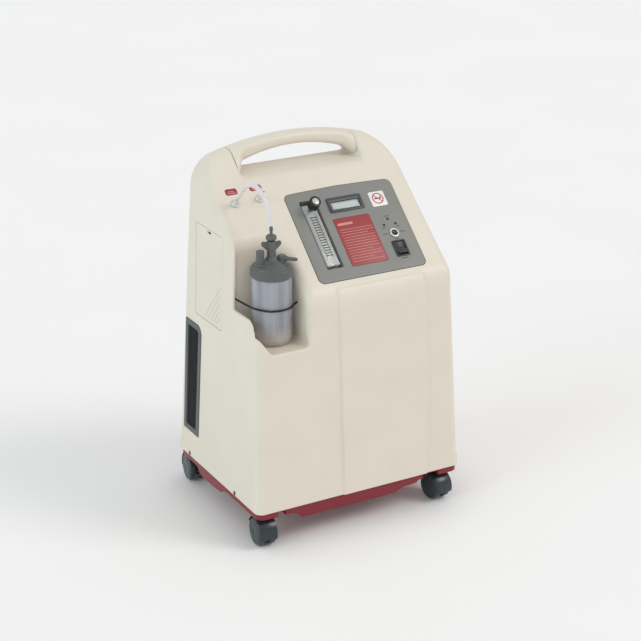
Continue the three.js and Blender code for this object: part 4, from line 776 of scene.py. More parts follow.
def crossed_quads(inside, number):
    """A quad round each grid edge that the surface crosses, through its four cells' points."""
    counts = inside.shape
    quads = []
    for axis in range(3):
        u, v = (axis + 1) % 3, (axis + 2) % 3
        lower = np.take(inside, range(0, counts[axis] - 1), axis)
        upper = np.take(inside, range(1, counts[axis]), axis)
        edges = np.argwhere(lower != upper)
        within = (edges[:, u] > 0) & (edges[:, v] > 0)
        within &= (edges[:, u] < counts[u] - 1) & (edges[:, v] < counts[v] - 1)
        edges = edges[within]
        leaving = lower[tuple(edges.T)]
        ring = []
        for du, dv in ((-1, -1), (0, -1), (0, 0), (-1, 0)):
            cell = edges.copy()
            cell[:, u] += du
            cell[:, v] += dv
            ring.append(number[tuple(cell.T)])
        quad = np.stack(ring, 1)
        quad[~leaving] = quad[~leaving][:, ::-1]
        quads.append(quad)
    return np.concatenate(quads)


def settled(field, verts):
    """Moves each point along the field's slope onto the surface."""
    verts = verts.copy()
    small, reach = 0.05, 0.7
    for _ in range(3):
        x, y, z = verts.T
        value = field(x, y, z)
        grad = np.stack([
            field(x + small, y, z) - field(x - small, y, z),
            field(x, y + small, z) - field(x, y - small, z),
            field(x, y, z + small) - field(x, y, z - small)], 1) / (2 * small)
        size = np.maximum((grad * grad).sum(1), 0.05)
        move = -grad * (value / size)[:, None]
        length = np.sqrt((move * move).sum(1))
        verts += move * np.minimum(1, reach / np.maximum(length, 1e-9))[:, None]
    return verts


def field_object(name, field, grid):
    verts, quads = surface_net(field, grid)
    mesh = bpy.data.meshes.new(name)
    mesh.vertices.add(len(verts))
    place = (verts + np.array([0, DY, 0])) * MM
    mesh.vertices.foreach_set("co", place.astype(np.float32).ravel())
    mesh.loops.add(len(quads) * 4)
    mesh.loops.foreach_set("vertex_index", quads.astype(np.int32).ravel())
    mesh.polygons.add(len(quads))
    mesh.polygons.foreach_set("loop_start", np.arange(0, len(quads) * 4, 4, dtype=np.int32))
    mesh.update(calc_edges=True)
    mesh.validate()
    return linked(name, mesh)


# ------------------------------------------------------------------ covers and handle
def build_covers():
    k = 1.0
    fine = 1.3 * k
    across = grid_line(-203, (-185, fine), (RECESS_X + 14, 2.2 * k), (185, 2.8 * k), (203, fine))
    along = grid_line(-162, (-148, fine), (140, 2.4 * k), (159, 1.6 * k))
    up = grid_line(BASE_Z - 5, (BASE_Z + BAND_H + 3, 1.2 * k), (RECESS_FLOOR - 12, 3 * k),
                   (RECESS_FLOOR + 60, 1.6 * k), (HEIGHT + 5, 2.4 * k))
    cover = field_object("front_shell", cover_field, (across, along, up))
    coarse = [grid_line(-low, (low, 6)) for low in (200, 158)] + [grid_line(BASE_Z - 17, (HEIGHT, 6))]
    cut(cover, field_object("hollow", inner_field, coarse))
    add(cover, slab("backing", filter_outline(4), -15, -1.5, ON_LEFT))
    inlet = centred(INLET_AT, 16.4, 25.4, 2)
    vent = centred(VENT_AT, 65.4, 65.4, 6)
    cut(cover,
        slab("seat", panel_outline(0.9), PANEL_TOP - 2.7, 20, ON_SLOPE),
        slab("hole", panel_outline(-7), -20, 5, ON_SLOPE),
        slab("seat", filter_outline(0.4), -12, 20, ON_LEFT),
        slab("hole", filter_outline(-10), -40, 5, ON_LEFT),
        slab("seat", door_outline(0.8), -2.5, 20, ON_LEFT),
        slab("hole", door_outline(-8), -20, 5, ON_LEFT),
        slab("inlet", inlet, -20, 20, ON_REAR),
        slab("vent", vent, -20, 20, ON_REAR))
    for side in (ON_LEFT, ON_RIGHT):
        for u in screw_spots(side):
            dimple = [(0, -1.2), (4.4, -1.2), (4.8, 8), (0, 8)]
            cut(cover, lathe("dimple", dimple, side @ at(u, SCREW_RISE, 0.9), 24))
    beyond = rect(-250, -20, 250, 620)
    parting = -(PARTING - BAND_STEP) * REAR_COS
    rear = linked("rear_shell", cover.data.copy())
    cut(cover, slab("behind", beyond, parting - SEAM / 2, 60, ON_REAR))
    cut(rear, slab("before", beyond, -400, parting + SEAM / 2, ON_REAR))
    dress(cover, "shell_plastic", ["front_cover", "bottle_well"], angle=38)
    dress(rear, "shell_plastic", ["rear_cover"], angle=38)


def screw_spots(side):
    """The two cover screws of a side, along its frame's x."""
    turn = -1 if side is ON_LEFT else 1
    return [turn * 108, turn * -69]


def build_screws():
    profile = [(0, -2), (4, -2), (4, 0.6, 0.4), (2.4, 1.1, 0.4), (0, 1.15)]
    for label, side in (("left", ON_LEFT), ("right", ON_RIGHT)):
        for number, u in enumerate(screw_spots(side)):
            place = side @ at(u, SCREW_RISE, 0)
            head = lathe(f"{label}_screw_{number + 1}", profile, place, 28)
            for turn in (0, math.pi / 2):
                cross = place @ Matrix.Rotation(turn + 0.4, 4, "Z")
                cut(head, slab("slot", rect(-2.4, -0.45, 2.4, 0.45), 0.4, 3, cross))
            dress(head, "black_plastic")


def build_handle():
    k = 1
    grid = (grid_line(-119, (-100, 1.3 * k), (100, 2.2 * k), (119, 1.3 * k)),
            grid_line(HANDLE_Y0 - 34, (HANDLE_Y1 + 8, 1.5 * k)),
            grid_line(560, (HEIGHT + 3, 1.5 * k)))
    handle = field_object("handle_grip", handle_field, grid)
    dress(handle, "shell_plastic", ["carry_handle"], angle=45)


# ------------------------------------------------------------------ control panel
# Places on the slope: (left, foot, right, head) of each rectangle, or the middle of a piece.
PANEL, PANEL_PEAK = (-59.5, 27.4, 145.4, 199), 205
METER_WELL = (-37.5, 50.5, -5.5, 183)
INSTRUCTIONS = (9.4, 48, 79, 140)
PICTOGRAM = (93.5, 150, 123.5, 179)
DISPLAY_AT, DISPLAY_SLEEVE = (44.7, 166), (15.3, 154.6, 74.1, 174)
RESET_AT, SWITCH_AT = (110.4, 95.4), (109.8, 65.2)
LIGHTS = [(109.7, 123.6), (98.3, 113.3), (120.6, 112.6)]
LEGENDS = [(109.7, 129.4, 8), (95.5, 107.6, 7), (123.4, 107, 7), (93.6, 96, 9), (127.4, 96, 9),
           (110.4, 83.4, 8), (109.8, 46.4, 13)]
PRINT_LOW, PRINT_HIGH = PANEL_TOP + 0.25, PANEL_TOP + 0.37


def panel_outline(grow):
    x0, s0, x1, s1 = PANEL
    r = 10 + grow
    return rounded([
        (x0 - grow, s0 - grow, r), (x1 + grow, s0 - grow, r), (x1 + grow, s1 + grow, r),
        ((x0 + x1) / 2, PANEL_PEAK + grow, 1300), (x0 - grow, s1 + grow, r)], 5)


def build_panel():
    panel = plate("panel_plate", panel_outline(0), PANEL_TOP - 2.4, PANEL_TOP, 0.5)
    add(panel, plate("well", rect(-39.1, 48.9, -3.9, 184.6, 2), PANEL_TOP - 16.6, PANEL_TOP - 0.6))
    cut(panel,
        plate("well_space", grown(METER_WELL, 0, 2.5), PANEL_TOP - 15, 20),
        plate("plate_seat", grown(INSTRUCTIONS, 0.4, 3.4), PANEL_TOP - 1, 20),
        plate("pictogram_seat", grown(PICTOGRAM, 0.4, 3.4), PANEL_TOP - 1, 20),
        plate("display_hole", grown(DISPLAY_SLEEVE, 0.5), -20, 20),
        plate("ring_hole", circle(*RESET_AT, 13.8), -20, 20),
        plate("switch_hole", centred(SWITCH_AT, 10.9, 14.8), -20, 20))
    for x, s in LIGHTS:
        cut(panel, plate("light_hole", circle(x, s, 4.8, 24), -20, 20))
    dress(panel, "panel_plastic", ["control_panel"])
    # A thin black rim round the panel: painted shade, standing in for the shadow in the gap round the
    # panel's edge.
    shade_rim = plate("panel_shade_rim", panel_outline(0.62), -1.4, 0.1)
    cut(shade_rim, plate("room", panel_outline(0.05), -5, 5))
    dress(shade_rim, "black_plastic")


def build_legends():
    """Short plain dashes where the panel's small legends are."""
    dashes = [plate("dash", centred((x, s), w / 2, 0.6, 0.4), PANEL_TOP - 0.05, PANEL_TOP + 0.07)
              for x, s, w in LEGENDS]
    dress(joined("panel_legends", dashes), "dark_ink")


def build_display():
    outline = centred(DISPLAY_AT, 33.2, 14.2, 2.4)
    bezel = plate("display_frame", outline, PANEL_TOP + 0.3, PANEL_TOP + 2.1, 0.8)
    add(bezel, plate("skirt", grown(DISPLAY_SLEEVE, 0, 1), -5, PANEL_TOP + 0.8))
    cut(bezel, plate("window", grown(DISPLAY_SLEEVE, -1.9, 1.2), -20, 20))
    bevelled(bezel, 0.35, 2, 60)
    dress(bezel, "bezel_plastic", ["display_bezel"])
    screen = plate("display_window", grown(DISPLAY_SLEEVE, -2.3, 1), -3.8, 0.3, 0.2)
    dress(screen, "screen_face", ["display_screen"])
    field = plate("display_field", rect(21.5, 159.4, 67.9, 169.2, 0.8), 0.3, 0.45)
    dress(field, "display_field")


def build_plates():
    card = plate("instruction_card", grown(INSTRUCTIONS, 0, 3), PANEL_TOP - 0.7, PANEL_TOP + 0.3, 0.18, 2)
    dress(card, "red_film", ["instruction_plate"])
    left, first_row, row_gap, ragged = 14.5, 117, 5.1, 22
    marks = []
    for row in range(13):
        s = first_row - row * row_gap
        reach = 62 - ragged * random.random() * (row % 3 == 2) - 3 * random.random()
        line = rect(left, s, left + reach, s + 0.9, 0.3)
        marks.append(plate("row", line, PRINT_LOW, PRINT_HIGH))
    marks.append(plate("head", rect(left, 126, 43, 130.5, 1), PRINT_LOW, PRINT_HIGH))
    dress(joined("instruction_rows", marks), "pale_ink")
    build_pictogram()


def build_pictogram():
    """A generic no-smoking sign."""
    card = plate("pictogram_card", grown(PICTOGRAM, 0, 3), PANEL_TOP - 0.7, PANEL_TOP + 0.3, 0.18, 2)
    dress(card, "white_film", ["pictogram_plate"])
    top = PRINT_LOW
    middle = ON_SLOPE @ at(108.5, 165.2, 0)
    stick = slab("stick", rect(-6.8, -1.2, 6.8, 1.2, 0.3), top, top + 0.1, middle)
    smoke = slab("smoke", rect(4.6, 1.9, 6.6, 5.2, 0.8), top, top + 0.1, middle)
    dress(joined("pictogram_mark", [stick, smoke]), "dark_ink")
    ring = lathe("ring", [(8.6, top), (10.8, top), (10.8, top + 0.14), (8.6, top + 0.14)], middle, 56)
    across = middle @ Matrix.Rotation(-0.79, 4, "Z")
    bar = slab("bar", rect(-9.2, -1, 9.2, 1), top + 0.02, top + 0.16, across)
    dress(joined("pictogram_ban", [ring, bar]), "red_ink")


def build_controls():
    pin = [(0, -3), (2, -3), (2, PANEL_TOP + 0.9, 0.8), (0, PANEL_TOP + 1.1)]
    pins = [lathe("pin", pin, ON_SLOPE @ at(x, s, 0), 28) for x, s in LIGHTS]
    dress(joined("indicator_pins", pins), "black_plastic", ["indicator_light_pipe"])
    place = ON_SLOPE @ at(*RESET_AT, 0)
    ring = lathe("reset_bezel", [
        (5.4, -8), (6.5, -8), (6.5, PANEL_TOP + 0.3), (8.8, PANEL_TOP + 0.3, 0.2),
        (8.8, PANEL_TOP + 1.8, 0.5), (7.4, PANEL_TOP + 2.7, 0.6), (6.0, PANEL_TOP + 2.7, 0.4),
        (5.4, PANEL_TOP + 1.7)], place, 64)
    dress(ring, "chrome", ["reset_ring"])
    button = lathe("reset_key", [(0, -7), (5, -7), (5, 2.2, 0.7), (2, 1.8, 1), (0, 1.7)], place, 48)
    dress(button, "black_plastic", ["reset_button"], "reset")
    build_switch()


def build_switch():
    flange = centred(SWITCH_AT, 12.5, 15.2, 1.6)
    body = plate("switch_frame", flange, PANEL_TOP + 0.3, PANEL_TOP + 2.1, 0.7)
    add(body, plate("sleeve", centred(SWITCH_AT, 10.5, 14.4, 0.6), -15, PANEL_TOP + 0.8))
    cut(body, plate("space", centred(SWITCH_AT, 9.3, 13.2, 0.8), -13, 20))
    bevelled(body, 0.3, 2, 60)
    dress(body, "black_plastic", ["switch_housing"])
    half = 11.6
    side = rounded([(-half, -2.5, 1), (-half * 0.55, -7), (half * 0.55, -7), (half, -2.5, 1),
                    (half, 8, 0.8), (0, 5.4, 9), (-half, 8, 0.8)])
    tilt = ON_SLOPE @ at(*SWITCH_AT, -4) @ Matrix.Rotation(math.radians(-8), 4, "X")
    rocker = slab("rocker_key", side, -8.9, 8.9, tilt @ ACROSS, 0.5)
    dress(rocker, "rocker_plastic", ["power_rocker"], "rocker")


# ------------------------------------------------------------------ flowmeter
METER_X, BORE_N, KNOB_S = -22.5, -7, 165
IN_BORE = ON_SLOPE @ axes((1, 0, 0), (0, 0, -1), (0, 1, 0), (METER_X, 0, BORE_N))
ON_KNOB = ON_SLOPE @ at(METER_X, KNOB_S, 0)
BORE_R, BORE_FOOT, BORE_HEAD = 4, 61, 153
KNOB_LOW, KNOB_HIGH = 13, 29


def build_flowmeter():
    body = plate("meter_body", rect(-35, 57, -10, 175, 1.5), PANEL_TOP - 14.7, 0, 0.9)
    cut(body, lathe("bore", rod(BORE_R, BORE_FOOT, BORE_HEAD), IN_BORE, 40))
    cut(body, lathe("valve_hole", rod(3.9, -7.5, 20), ON_KNOB, 40))
    for s0, s1 in ((56, 61.2), (152.6, 160.6)):
        cut(body, lathe("fitting_seat", rod(5.6, s0, s1), IN_BORE, 32))
    dress(body, "clear_acrylic", ["flowmeter_block"])
    for name, s0, s1 in (("meter_inlet_fitting", 57.3, 61), ("meter_outlet_fitting", 152.9, 160.2)):
        fitting = lathe(name, [(1.6, s0), (5.4, s0, 0.4), (5.4, s1, 0.4), (1.6, s1)], IN_BORE, 40)
        dress(fitting, "chrome")
    glass = lathe("meter_tube", [(3.6, 61.4), (3.92, 61.4), (3.92, 152.4), (3.6, 152.4)], IN_BORE, 40)
    dress(glass, "frosted_tube")
    rungs = [rect(-27, s, -17, s + 1.7, 0.3) for s in (76 + i * 4.9 for i in range(16))]
    rails = [rect(x, 74, x + 0.9, 153) for x in (-27.9, -17)]
    marks = [plate("mark", outline, -0.04, 0.1) for outline in rungs + rails]
    dress(joined("meter_scale", marks), "dark_ink")
    s, r = 65, 3.4
    ball = lathe("meter_float", [
        (0, s - r), (r * 0.5, s - r * 0.85, 0.6), (r, s, 1.2), (r, s + 1, 1.2),
        (r * 0.5, s + r * 0.9, 0.6), (0, s + r)], IN_BORE, 40)
    dress(ball, "chrome", ["flow_float"], "float")


def fluted(name, radius, depth, flutes, z0, z1, matrix, bevel):
    """A disc with a fluted rim."""
    points = []
    for i in range(flutes * 6):
        a = 2 * math.pi * i / (flutes * 6)
        r = radius - depth * (0.5 - 0.5 * math.cos(flutes * a))
        points.append((r * math.cos(a), r * math.sin(a)))
    return slab(name, points, z0, z1, matrix, bevel, 2)


def build_knob():
    n0, n1 = KNOB_LOW, KNOB_HIGH
    knob = fluted("knob_body", 10, 0.5, 30, n0, n1, ON_KNOB, 0.4)
    cut(knob, lathe("cap_seat", rod(6.3, n1 - 1, n1 + 4), ON_KNOB, 48))
    stem = lathe("knob_stem", rod(3.5, -7, n0 + 0.5), ON_KNOB, 32)
    skirt = lathe("knob_skirt", [(0, n0 - 1.6), (5.5, n0 - 1.6, 0.4), (7.6, n0 + 0.3), (0, n0 + 0.3)],
                  ON_KNOB, 40)
    dress(knob, "black_plastic", ["flow_knob"], "knob", angle=50)
    dress(stem, "steel", body="knob")
    dress(skirt, "black_plastic", body="knob")
    cap = lathe("knob_cap", [(0, n1 - 0.9), (6, n1 - 0.9), (6, n1 + 0.2, 0.7), (4, n1 + 0.7, 2),
                             (0, n1 + 0.75)], ON_KNOB, 48)
    dress(cap, "knob_metal", ["flow_knob_cap"], "knob")


# ------------------------------------------------------------------ ports and hose
PORTS = [("outlet", -148.5, 200), ("spare", -102.5, 202)]
PORT_LABELS = [("outlet_label", (-157.5, 217, -136, 229)), ("spare_label", (-113, 218, -91, 229))]
BARB = [
    (0, 6), (1.6, 6), (1.6, 22), (2.2, 22, 0.2), (3.1, 18.5, 0.3), (2.4, 18.5), (2.4, 16),
    (3.1, 12.5, 0.3), (2.5, 12.5), (2.5, 8.6, 0.4), (3.6, 8.2, 0.4), (4.6, 3.4, 1.5), (6.2, 2.4, 0.8),
    (7.5, 1.9, 0.6), (7.5, 0.3, 0.2), (4, 0.3), (4, -8), (0, -8),
]
HOSE_D = 8.5
HOSE_ROUTE = [
    (0.2, -4.4, 5.9), (1.3, -10.0, 13.3), (3.3, -18.9, 21.6), (6.3, -30.4, 27.1),
    (9.3, -41.9, 26.5), (11.9, -52.4, 21.1), (14.3, -61.9, 12.1), (15.9, -69.4, 0.5),
    (16.9, -74.4, -11.2),
]


def build_ports():
    for name, x, s in PORTS:
        port = lathe(f"{name}_barb", BARB, ON_SLOPE @ at(x, s, 0), 56)
        dress(port, "chrome", [f"{name}_port"])
    for name, (x0, s0, x1, s1) in PORT_LABELS:
        label = plate(name, rect(x0, s0, x1, s1, 4), -0.4, 0.35, 0.12, 2)
        dress(label, "port_label_film")
        rows = []
        for k in range(2):
            foot = s0 + 2.6 + 3.4 * k
            rows.append(plate("row", rect(x0 + 3.5, foot, x1 - 3.5 - 3 * k, foot + 1.4, 0.4), 0.3, 0.42))
        dress(joined(f"{name}_rows", rows), "pale_ink")


def build_hose():
    """The clear hose from the outlet port over and down to the bottle's nipple."""
    tip = ON_SLOPE @ Vector((PORTS[0][1], PORTS[0][2], 22.6))
    points = [tip] + [tip + Vector(p) for p in HOSE_ROUTE]
    points += [Vector((BOTTLE_X, BOTTLE_Y + 0.4, STEM_TOP + 6)),
               Vector((BOTTLE_X, BOTTLE_Y, STEM_TOP + 0.3))]
    path = smooth_curve(points, 6)
    hose = sweep("outlet_hose", path, HOSE_D / 2, around=28, bore=2.7)
    dress(hose, "clear_tube", ["oxygen_tube"], "bottle", angle=60)


# ------------------------------------------------------------------ humidifier bottle
ON_BOTTLE = at(BOTTLE_X, BOTTLE_Y, 0)
JAR_R = JAR_D / 2
RELIEF = at(BOTTLE_X - 21, BOTTLE_Y - 1, DOME_Z)
TOWER = at(BOTTLE_X + 17, BOTTLE_Y - 3, DOME_Z)


def build_jar():
    r, z0, z1 = JAR_R, BOTTLE_Z, LID_Z - 0.3
    top = LID_Z + 18
    jar = lathe("jar_body", [
        (0, z0 + 1.2), (r - 12, z0 + 1.2, 1), (r - 10, z0, 1), (r - 2.4, z0, 2.4), (r - 0.4, z0 + 6, 6),
        (r, z1 - 4, 4), (r, z1 - 1, 0.8), (r - 4, z1 - 0.2, 0.5), (r - 4, top, 0.5), (r - 6, top, 0.5),
        (r - 6, z1 - 1.5, 1), (r - 2.2, z1 - 6, 3), (r - 2.6, z0 + 8, 4), (r - 5.5, z0 + 3.4, 3),
        (0, z0 + 3.4)], ON_BOTTLE, 96)
    dress(jar, "jar_plastic", ["humidifier_jar"], "jar", angle=50)
    lines = ((LID_Z - 42, 0.5), (LID_Z - 46, 0.34), (LID_Z - 75, 0.5))
    marks = [arc_band(r + 0.06, z, 1.2, -1.02, span, ON_BOTTLE) for z, span in lines]
    dress(joined("jar_level_marks", marks), "red_ink", body="jar")


def build_lid():
    r = JAR_R
    lid = lathe("lid_body", [
        (r - 3.6, LID_Z), (r + 0.8, LID_Z, 0.5), (r + 0.8, DOME_Z - 1, 1.2), (r - 1.2, DOME_Z - 0.2, 0.6),
        (r - 1.8, DOME_Z + 2.5, 1.5), (r * 0.8, DOME_Z + 4.5, 5), (r * 0.52, DOME_Z + 9, 8),
        (10.2, DOME_Z + 11.5, 3), (8.6, NECK_Z + 0.5, 2), (7.3, NECK_Z + 1.6, 1), (7.3, NECK_Z + 12, 0.5),
        (3.9, NECK_Z + 12), (3.9, LID_Z + 14.5), (r - 3.6, LID_Z + 10.5)], ON_BOTTLE, 96)
    grip = fluted("lid_grip", r + 1.2, 0.5, 72, LID_Z + 1.6, DOME_Z - 2.6, ON_BOTTLE, 0.25)
    cut(grip, lathe("grip_bore", rod(r + 0.2, LID_Z, DOME_Z), ON_BOTTLE, 96))
    add(lid, lathe("seat", [(0, -1), (8.4, -1), (8.4, 8.4, 1.5), (0, 8.8)], RELIEF, 48))
    cut(lid, lathe("seat_bore", rod(6.8, 4, 40), RELIEF, 48))
    add(lid, lathe("tower", [(0, 1), (7, 1), (7, 17.6, 1.6), (0, 18)], TOWER, 48))
    aim = TOWER @ at(0, 0, 12.5) @ Matrix.Rotation(math.radians(-50), 4, "Z") @ TO_X
    nozzle = [(0, 0), (4.4, 0), (4.2, 9, 0.4), (3.2, 10.2), (3.1, 20), (3.4, 21.2, 0.4), (2.3, 27, 0.4),
              (0, 27)]
    add(lid, lathe("nozzle", nozzle, aim, 40))
    cut(lid, lathe("nozzle_bore", rod(1.5, 14, 29), aim, 28))
    dress(lid, "lid_plastic", ["humidifier_lid"], "bottle", angle=42)
    dress(grip, "lid_plastic", body="bottle", angle=50)


def build_bottle():
    build_jar()
    build_lid()
    z, h = 4.3, 26
    cap = lathe("relief_valve", [
        (0, z), (6.5, z), (6.5, z + 13, 0.3), (6.0, z + 13.6), (6.0, z + 14.6), (6.5, z + 15.2, 0.3),
        (6.5, z + h - 0.1, 1.2), (3, z + h - 0.1, 0.5), (2.2, z + h - 1.5), (0, z + h - 1.5)], RELIEF, 56)
    dress(cap, "lid_plastic", ["relief_cap"], "bottle")
    build_wing_nut()
    c, top = COLLAR_Z, STEM_TOP
    stem = lathe("stem_body", [
        (0, LID_Z + 3), (3.5, LID_Z + 3), (3.5, c), (8.8, c, 0.4), (8.8, c + 5.2, 1), (6.6, c + 7, 1),
        (4, c + 7.6, 0.6), (2.6, c + 9), (2.6, top - 7), (3.3, top - 6.4, 0.3), (2.2, top, 0.3),
        (0, top)], ON_BOTTLE, 56)
    dress(stem, "lid_plastic", ["inlet_stem"], "bottle")
    foot, head = BOTTLE_Z + 20, LID_Z + 1.7
    dip = lathe("dip_tube", [(1.9, foot), (3, foot), (3, head), (1.9, head)], ON_BOTTLE, 40)
    dress(dip, "white_plastic", ["diffuser_tube"], "bottle")
    stone = lathe("dip_stone", [(0, foot - 12), (5.5, foot - 12, 1), (5.5, foot + 2, 1), (3.1, foot + 4),
                                (0, foot + 4)], ON_BOTTLE, 40)
    dress(stone, "diffuser_stone", body="bottle")


def arc_band(r, z, height, start, span, matrix):
    """A thin printed stripe round part of a cylinder."""
    n = 14
    verts, faces = [], []
    for i in range(n + 1):
        a = start + span * i / n
        for rr, zz in ((r - 0.05, z), (r + 0.08, z), (r + 0.08, z + height), (r - 0.05, z + height)):
            verts.append((rr * math.cos(a), rr * math.sin(a), zz))
    for i in range(n):
        for k in range(4):
            j = (k + 1) % 4
            faces.append((4 * i + k, 4 * i + 4 + k, 4 * i + 4 + j, 4 * i + j))
    faces += [(0, 1, 2, 3), (4 * n + 3, 4 * n + 2, 4 * n + 1, 4 * n)]
    return mesh_object("stripe", verts, faces, matrix)


def build_wing_nut():
    turn = ON_BOTTLE @ Matrix.Rotation(-0.25, 4, "Z")
    z, reach = NUT_Z, 16.4
    nut = lathe("nut_hub", [(3.9, z), (7.8, z, 0.5), (7.4, z + 16, 0.8), (3.9, z + 16)], turn, 56)
    wing = rounded([(5.2, z + 1.2), (8.4, z + 1.2, 2), (reach, z + 9, 3), (reach, z + 16, 3),
                    (9.5, z + 14.5, 4), (5.2, z + 14)])
    upright = axes((1, 0, 0), (0, 0, 1), (0, -1, 0), (0, 0, 0))
    for half_turn in (0, math.pi):
        place = turn @ Matrix.Rotation(half_turn, 4, "Z") @ upright
        add(nut, slab("wing", wing, -2, 2, place, 1.1))
    dress(nut, "lid_plastic", ["wing_nut"], "nut", angle=40)


def build_strap():
    d = 3.4
    r = JAR_R + d / 2 + 0.5
    wall = -side_x(RIM_Z + 18) + BAND_STEP + WALL
    path = [Vector((wall + d / 2 + 0.6, RECESS_Y - d / 2 - 0.6, RIM_Z + 18)),
            Vector((BOTTLE_X - r - 3.3, BOTTLE_Y - r / 4, RIM_Z + 14.5))]
    for deg in range(232, 323, 15):
        a = math.radians(deg)
        path.append(Vector((BOTTLE_X + r * math.cos(a), BOTTLE_Y + r * math.sin(a), RIM_Z + 12)))
    path.append(Vector((RECESS_X - d / 2 - 0.8, BOTTLE_Y - 18, RIM_Z + 14)))
    strap = sweep("strap_cord", smooth_curve(path, 8),
                  lambda t: d / 2 * (1 - 0.04 * math.cos(160 * math.pi * t)))
    dress(strap, "elastic_rubber", ["bottle_strap"], angle=60)
    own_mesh(strap)


# ------------------------------------------------------------------ door, filter, rear fittings
DOOR_HEAD, DOOR_FOOT = up_left(505), up_left(343)
INLET_AT, VENT_AT = (-120, up_rear(122)), (60, up_rear(200))


def door_outline(grow):
    return grown((-90, DOOR_FOOT, 10, DOOR_HEAD), grow, 4 + grow)


def filter_outline(grow):
    top, foot = up_left(323) + grow, up_left(114) - grow
    return rounded([(-127 - grow, top, 3), (-133 - grow, foot, 3), (-75 + grow, foot, 3),
                    (-66 + grow, top, 16 + grow)])


def build_door():
    door = slab("door_panel", door_outline(0), -2.2, 0, ON_LEFT, 0.5)
    cut(door, slab("notch", rect(-49, DOOR_HEAD - 7, -31, DOOR_HEAD - 3.2, 1.2), -1, 5, ON_LEFT))
    dress(door, "shell_plastic", ["access_door"], "door")
    catch = rect(-44, DOOR_HEAD - 6.6, -36, DOOR_HEAD - 3.6, 0.5)
    dress(slab("door_catch", catch, -1.2, 0, ON_LEFT, 0.25, 2), "dark_ink", body="door")
    ribs = []
    for i in range(5):
        start = Vector((-53 + 11 * i, DOOR_FOOT + 7))
        end = start + Vector((1, 1.17)) * (0.5 - start.x)
        side = (end - start).normalized().orthogonal() * 0.5
        corners = [tuple(p) for p in (start + side, start - side, end - side, end + side)]
        ribs.append(slab("rib", corners, -0.3, 0.16, ON_LEFT))
    dress(joined("door_hatching", ribs), "hatch_ink", body="door")


def build_filter():
    rim = slab("filter_bezel", filter_outline(0), -7, 1.2, ON_LEFT, 0.7)
    cut(rim, slab("hole", filter_outline(-10), -20, 20, ON_LEFT))
    bevelled(rim, 0.4, 2, 60)
    dress(rim, "filter_plastic", ["filter_frame"], "filter")
    foam = slab("filter_pad", filter_outline(-10.3), -7, -1.6, ON_LEFT, 0.4)
    dress(foam, "filter_foam", ["filter_foam"], "filter")


def build_inlet():
    x, v = INLET_AT
    inlet = slab("inlet_body", centred(INLET_AT, 16, 25, 2), -24, 1.3, ON_REAR)
    add(inlet, slab("flange", centred(INLET_AT, 19, 28, 3), 0.3, 2.3, ON_REAR, 0.5))
    socket = rounded([(x - 12, v - 21, 1), (x + 12, v - 21, 1), (x + 12, v - 9, 1), (x + 8, v - 4, 1),
                      (x - 8, v - 4, 1), (x - 12, v - 9, 1)])
    cut(inlet, slab("socket", socket, -16, 20, ON_REAR))
    cut(inlet, slab("drawer", centred((x, v + 11), 12, 8, 1), -1, 20, ON_REAR))
    bevelled(inlet, 0.3, 2, 60)
    dress(inlet, "black_plastic", ["mains_inlet"])
    pins = [slab("pin", centred((x + dx, v + dv), 1, 2), -16.5, -3, ON_REAR, 0.3, 2)
            for dx, dv in ((-7, -15), (0, -10.5), (7, -15))]
    dress(joined("inlet_pins", pins), "chrome")
    fuse = slab("fuse_drawer", centred((x, v + 11), 11.4, 7.4, 0.8), -1, 0.9, ON_REAR, 0.4)
    dress(fuse, "black_plastic")


def build_grille():
    x, v = VENT_AT
    grille = slab("vent_plate", centred(VENT_AT, 65, 65, 6), -2.6, 0, ON_REAR, 0.5)
    for row in range(-55, 50, 12):
        slot = rect(x - 56, v + row, x + 56, v + row + 6, 2.9)
        cut(grille, slab("slot", slot, -10, 10, ON_REAR))
    bevelled(grille, 0.3, 2, 60)
    dress(grille, "shell_plastic", ["exhaust_grille"])


# ------------------------------------------------------------------ tray and casters
TRAY_Z = BASE_Z - 11
SKIRT_GAPS = [(-160, -146), (124, 156)]
# name, x, y, turn about the stem in degrees, and which way it trails (-1 front, 1 rear)
CASTERS = [("front_left", -176, -110, -5, -1), ("front_right", 164, -110, 6, -1),
           ("rear_left", -176, 125, -6, 1), ("rear_right", 164, 125, 4, 1)]


def tub_piece(inset):
    """The deeper middle of the tray, as two crossed prisms."""
    x = BODY_W / 2 - TRAY_INSET - 1 - inset
    y = BODY_D / 2 - TRAY_INSET - 1 - inset
    foot, top = TRAY_Z - 13 + inset, BASE_Z - 3
    front = rounded([(-139 + inset, top), (-114 + inset, foot, 5), (69 - inset, foot, 4),
                     (86 - inset, foot + 7, 4), (112 - inset, foot + 8, 4), (123 - inset, top)])
    side = rounded([(-42 + inset, top), (-9 + inset, foot + 3, 5), (22, foot, 8), (70, foot, 5),
                    (100 - inset, top)])
    whole = slab("tub", [(px, -pz) for px, pz in front], -y, y, TO_Y)
    return add(whole, slab("cross", side, -x, x, ACROSS))


def tray_plan(inset):
    x, y = BODY_W / 2 - TRAY_INSET - inset, BODY_D / 2 - TRAY_INSET - inset
    return rect(-x, -y, x, y, FRONT_CORNER_R - inset)


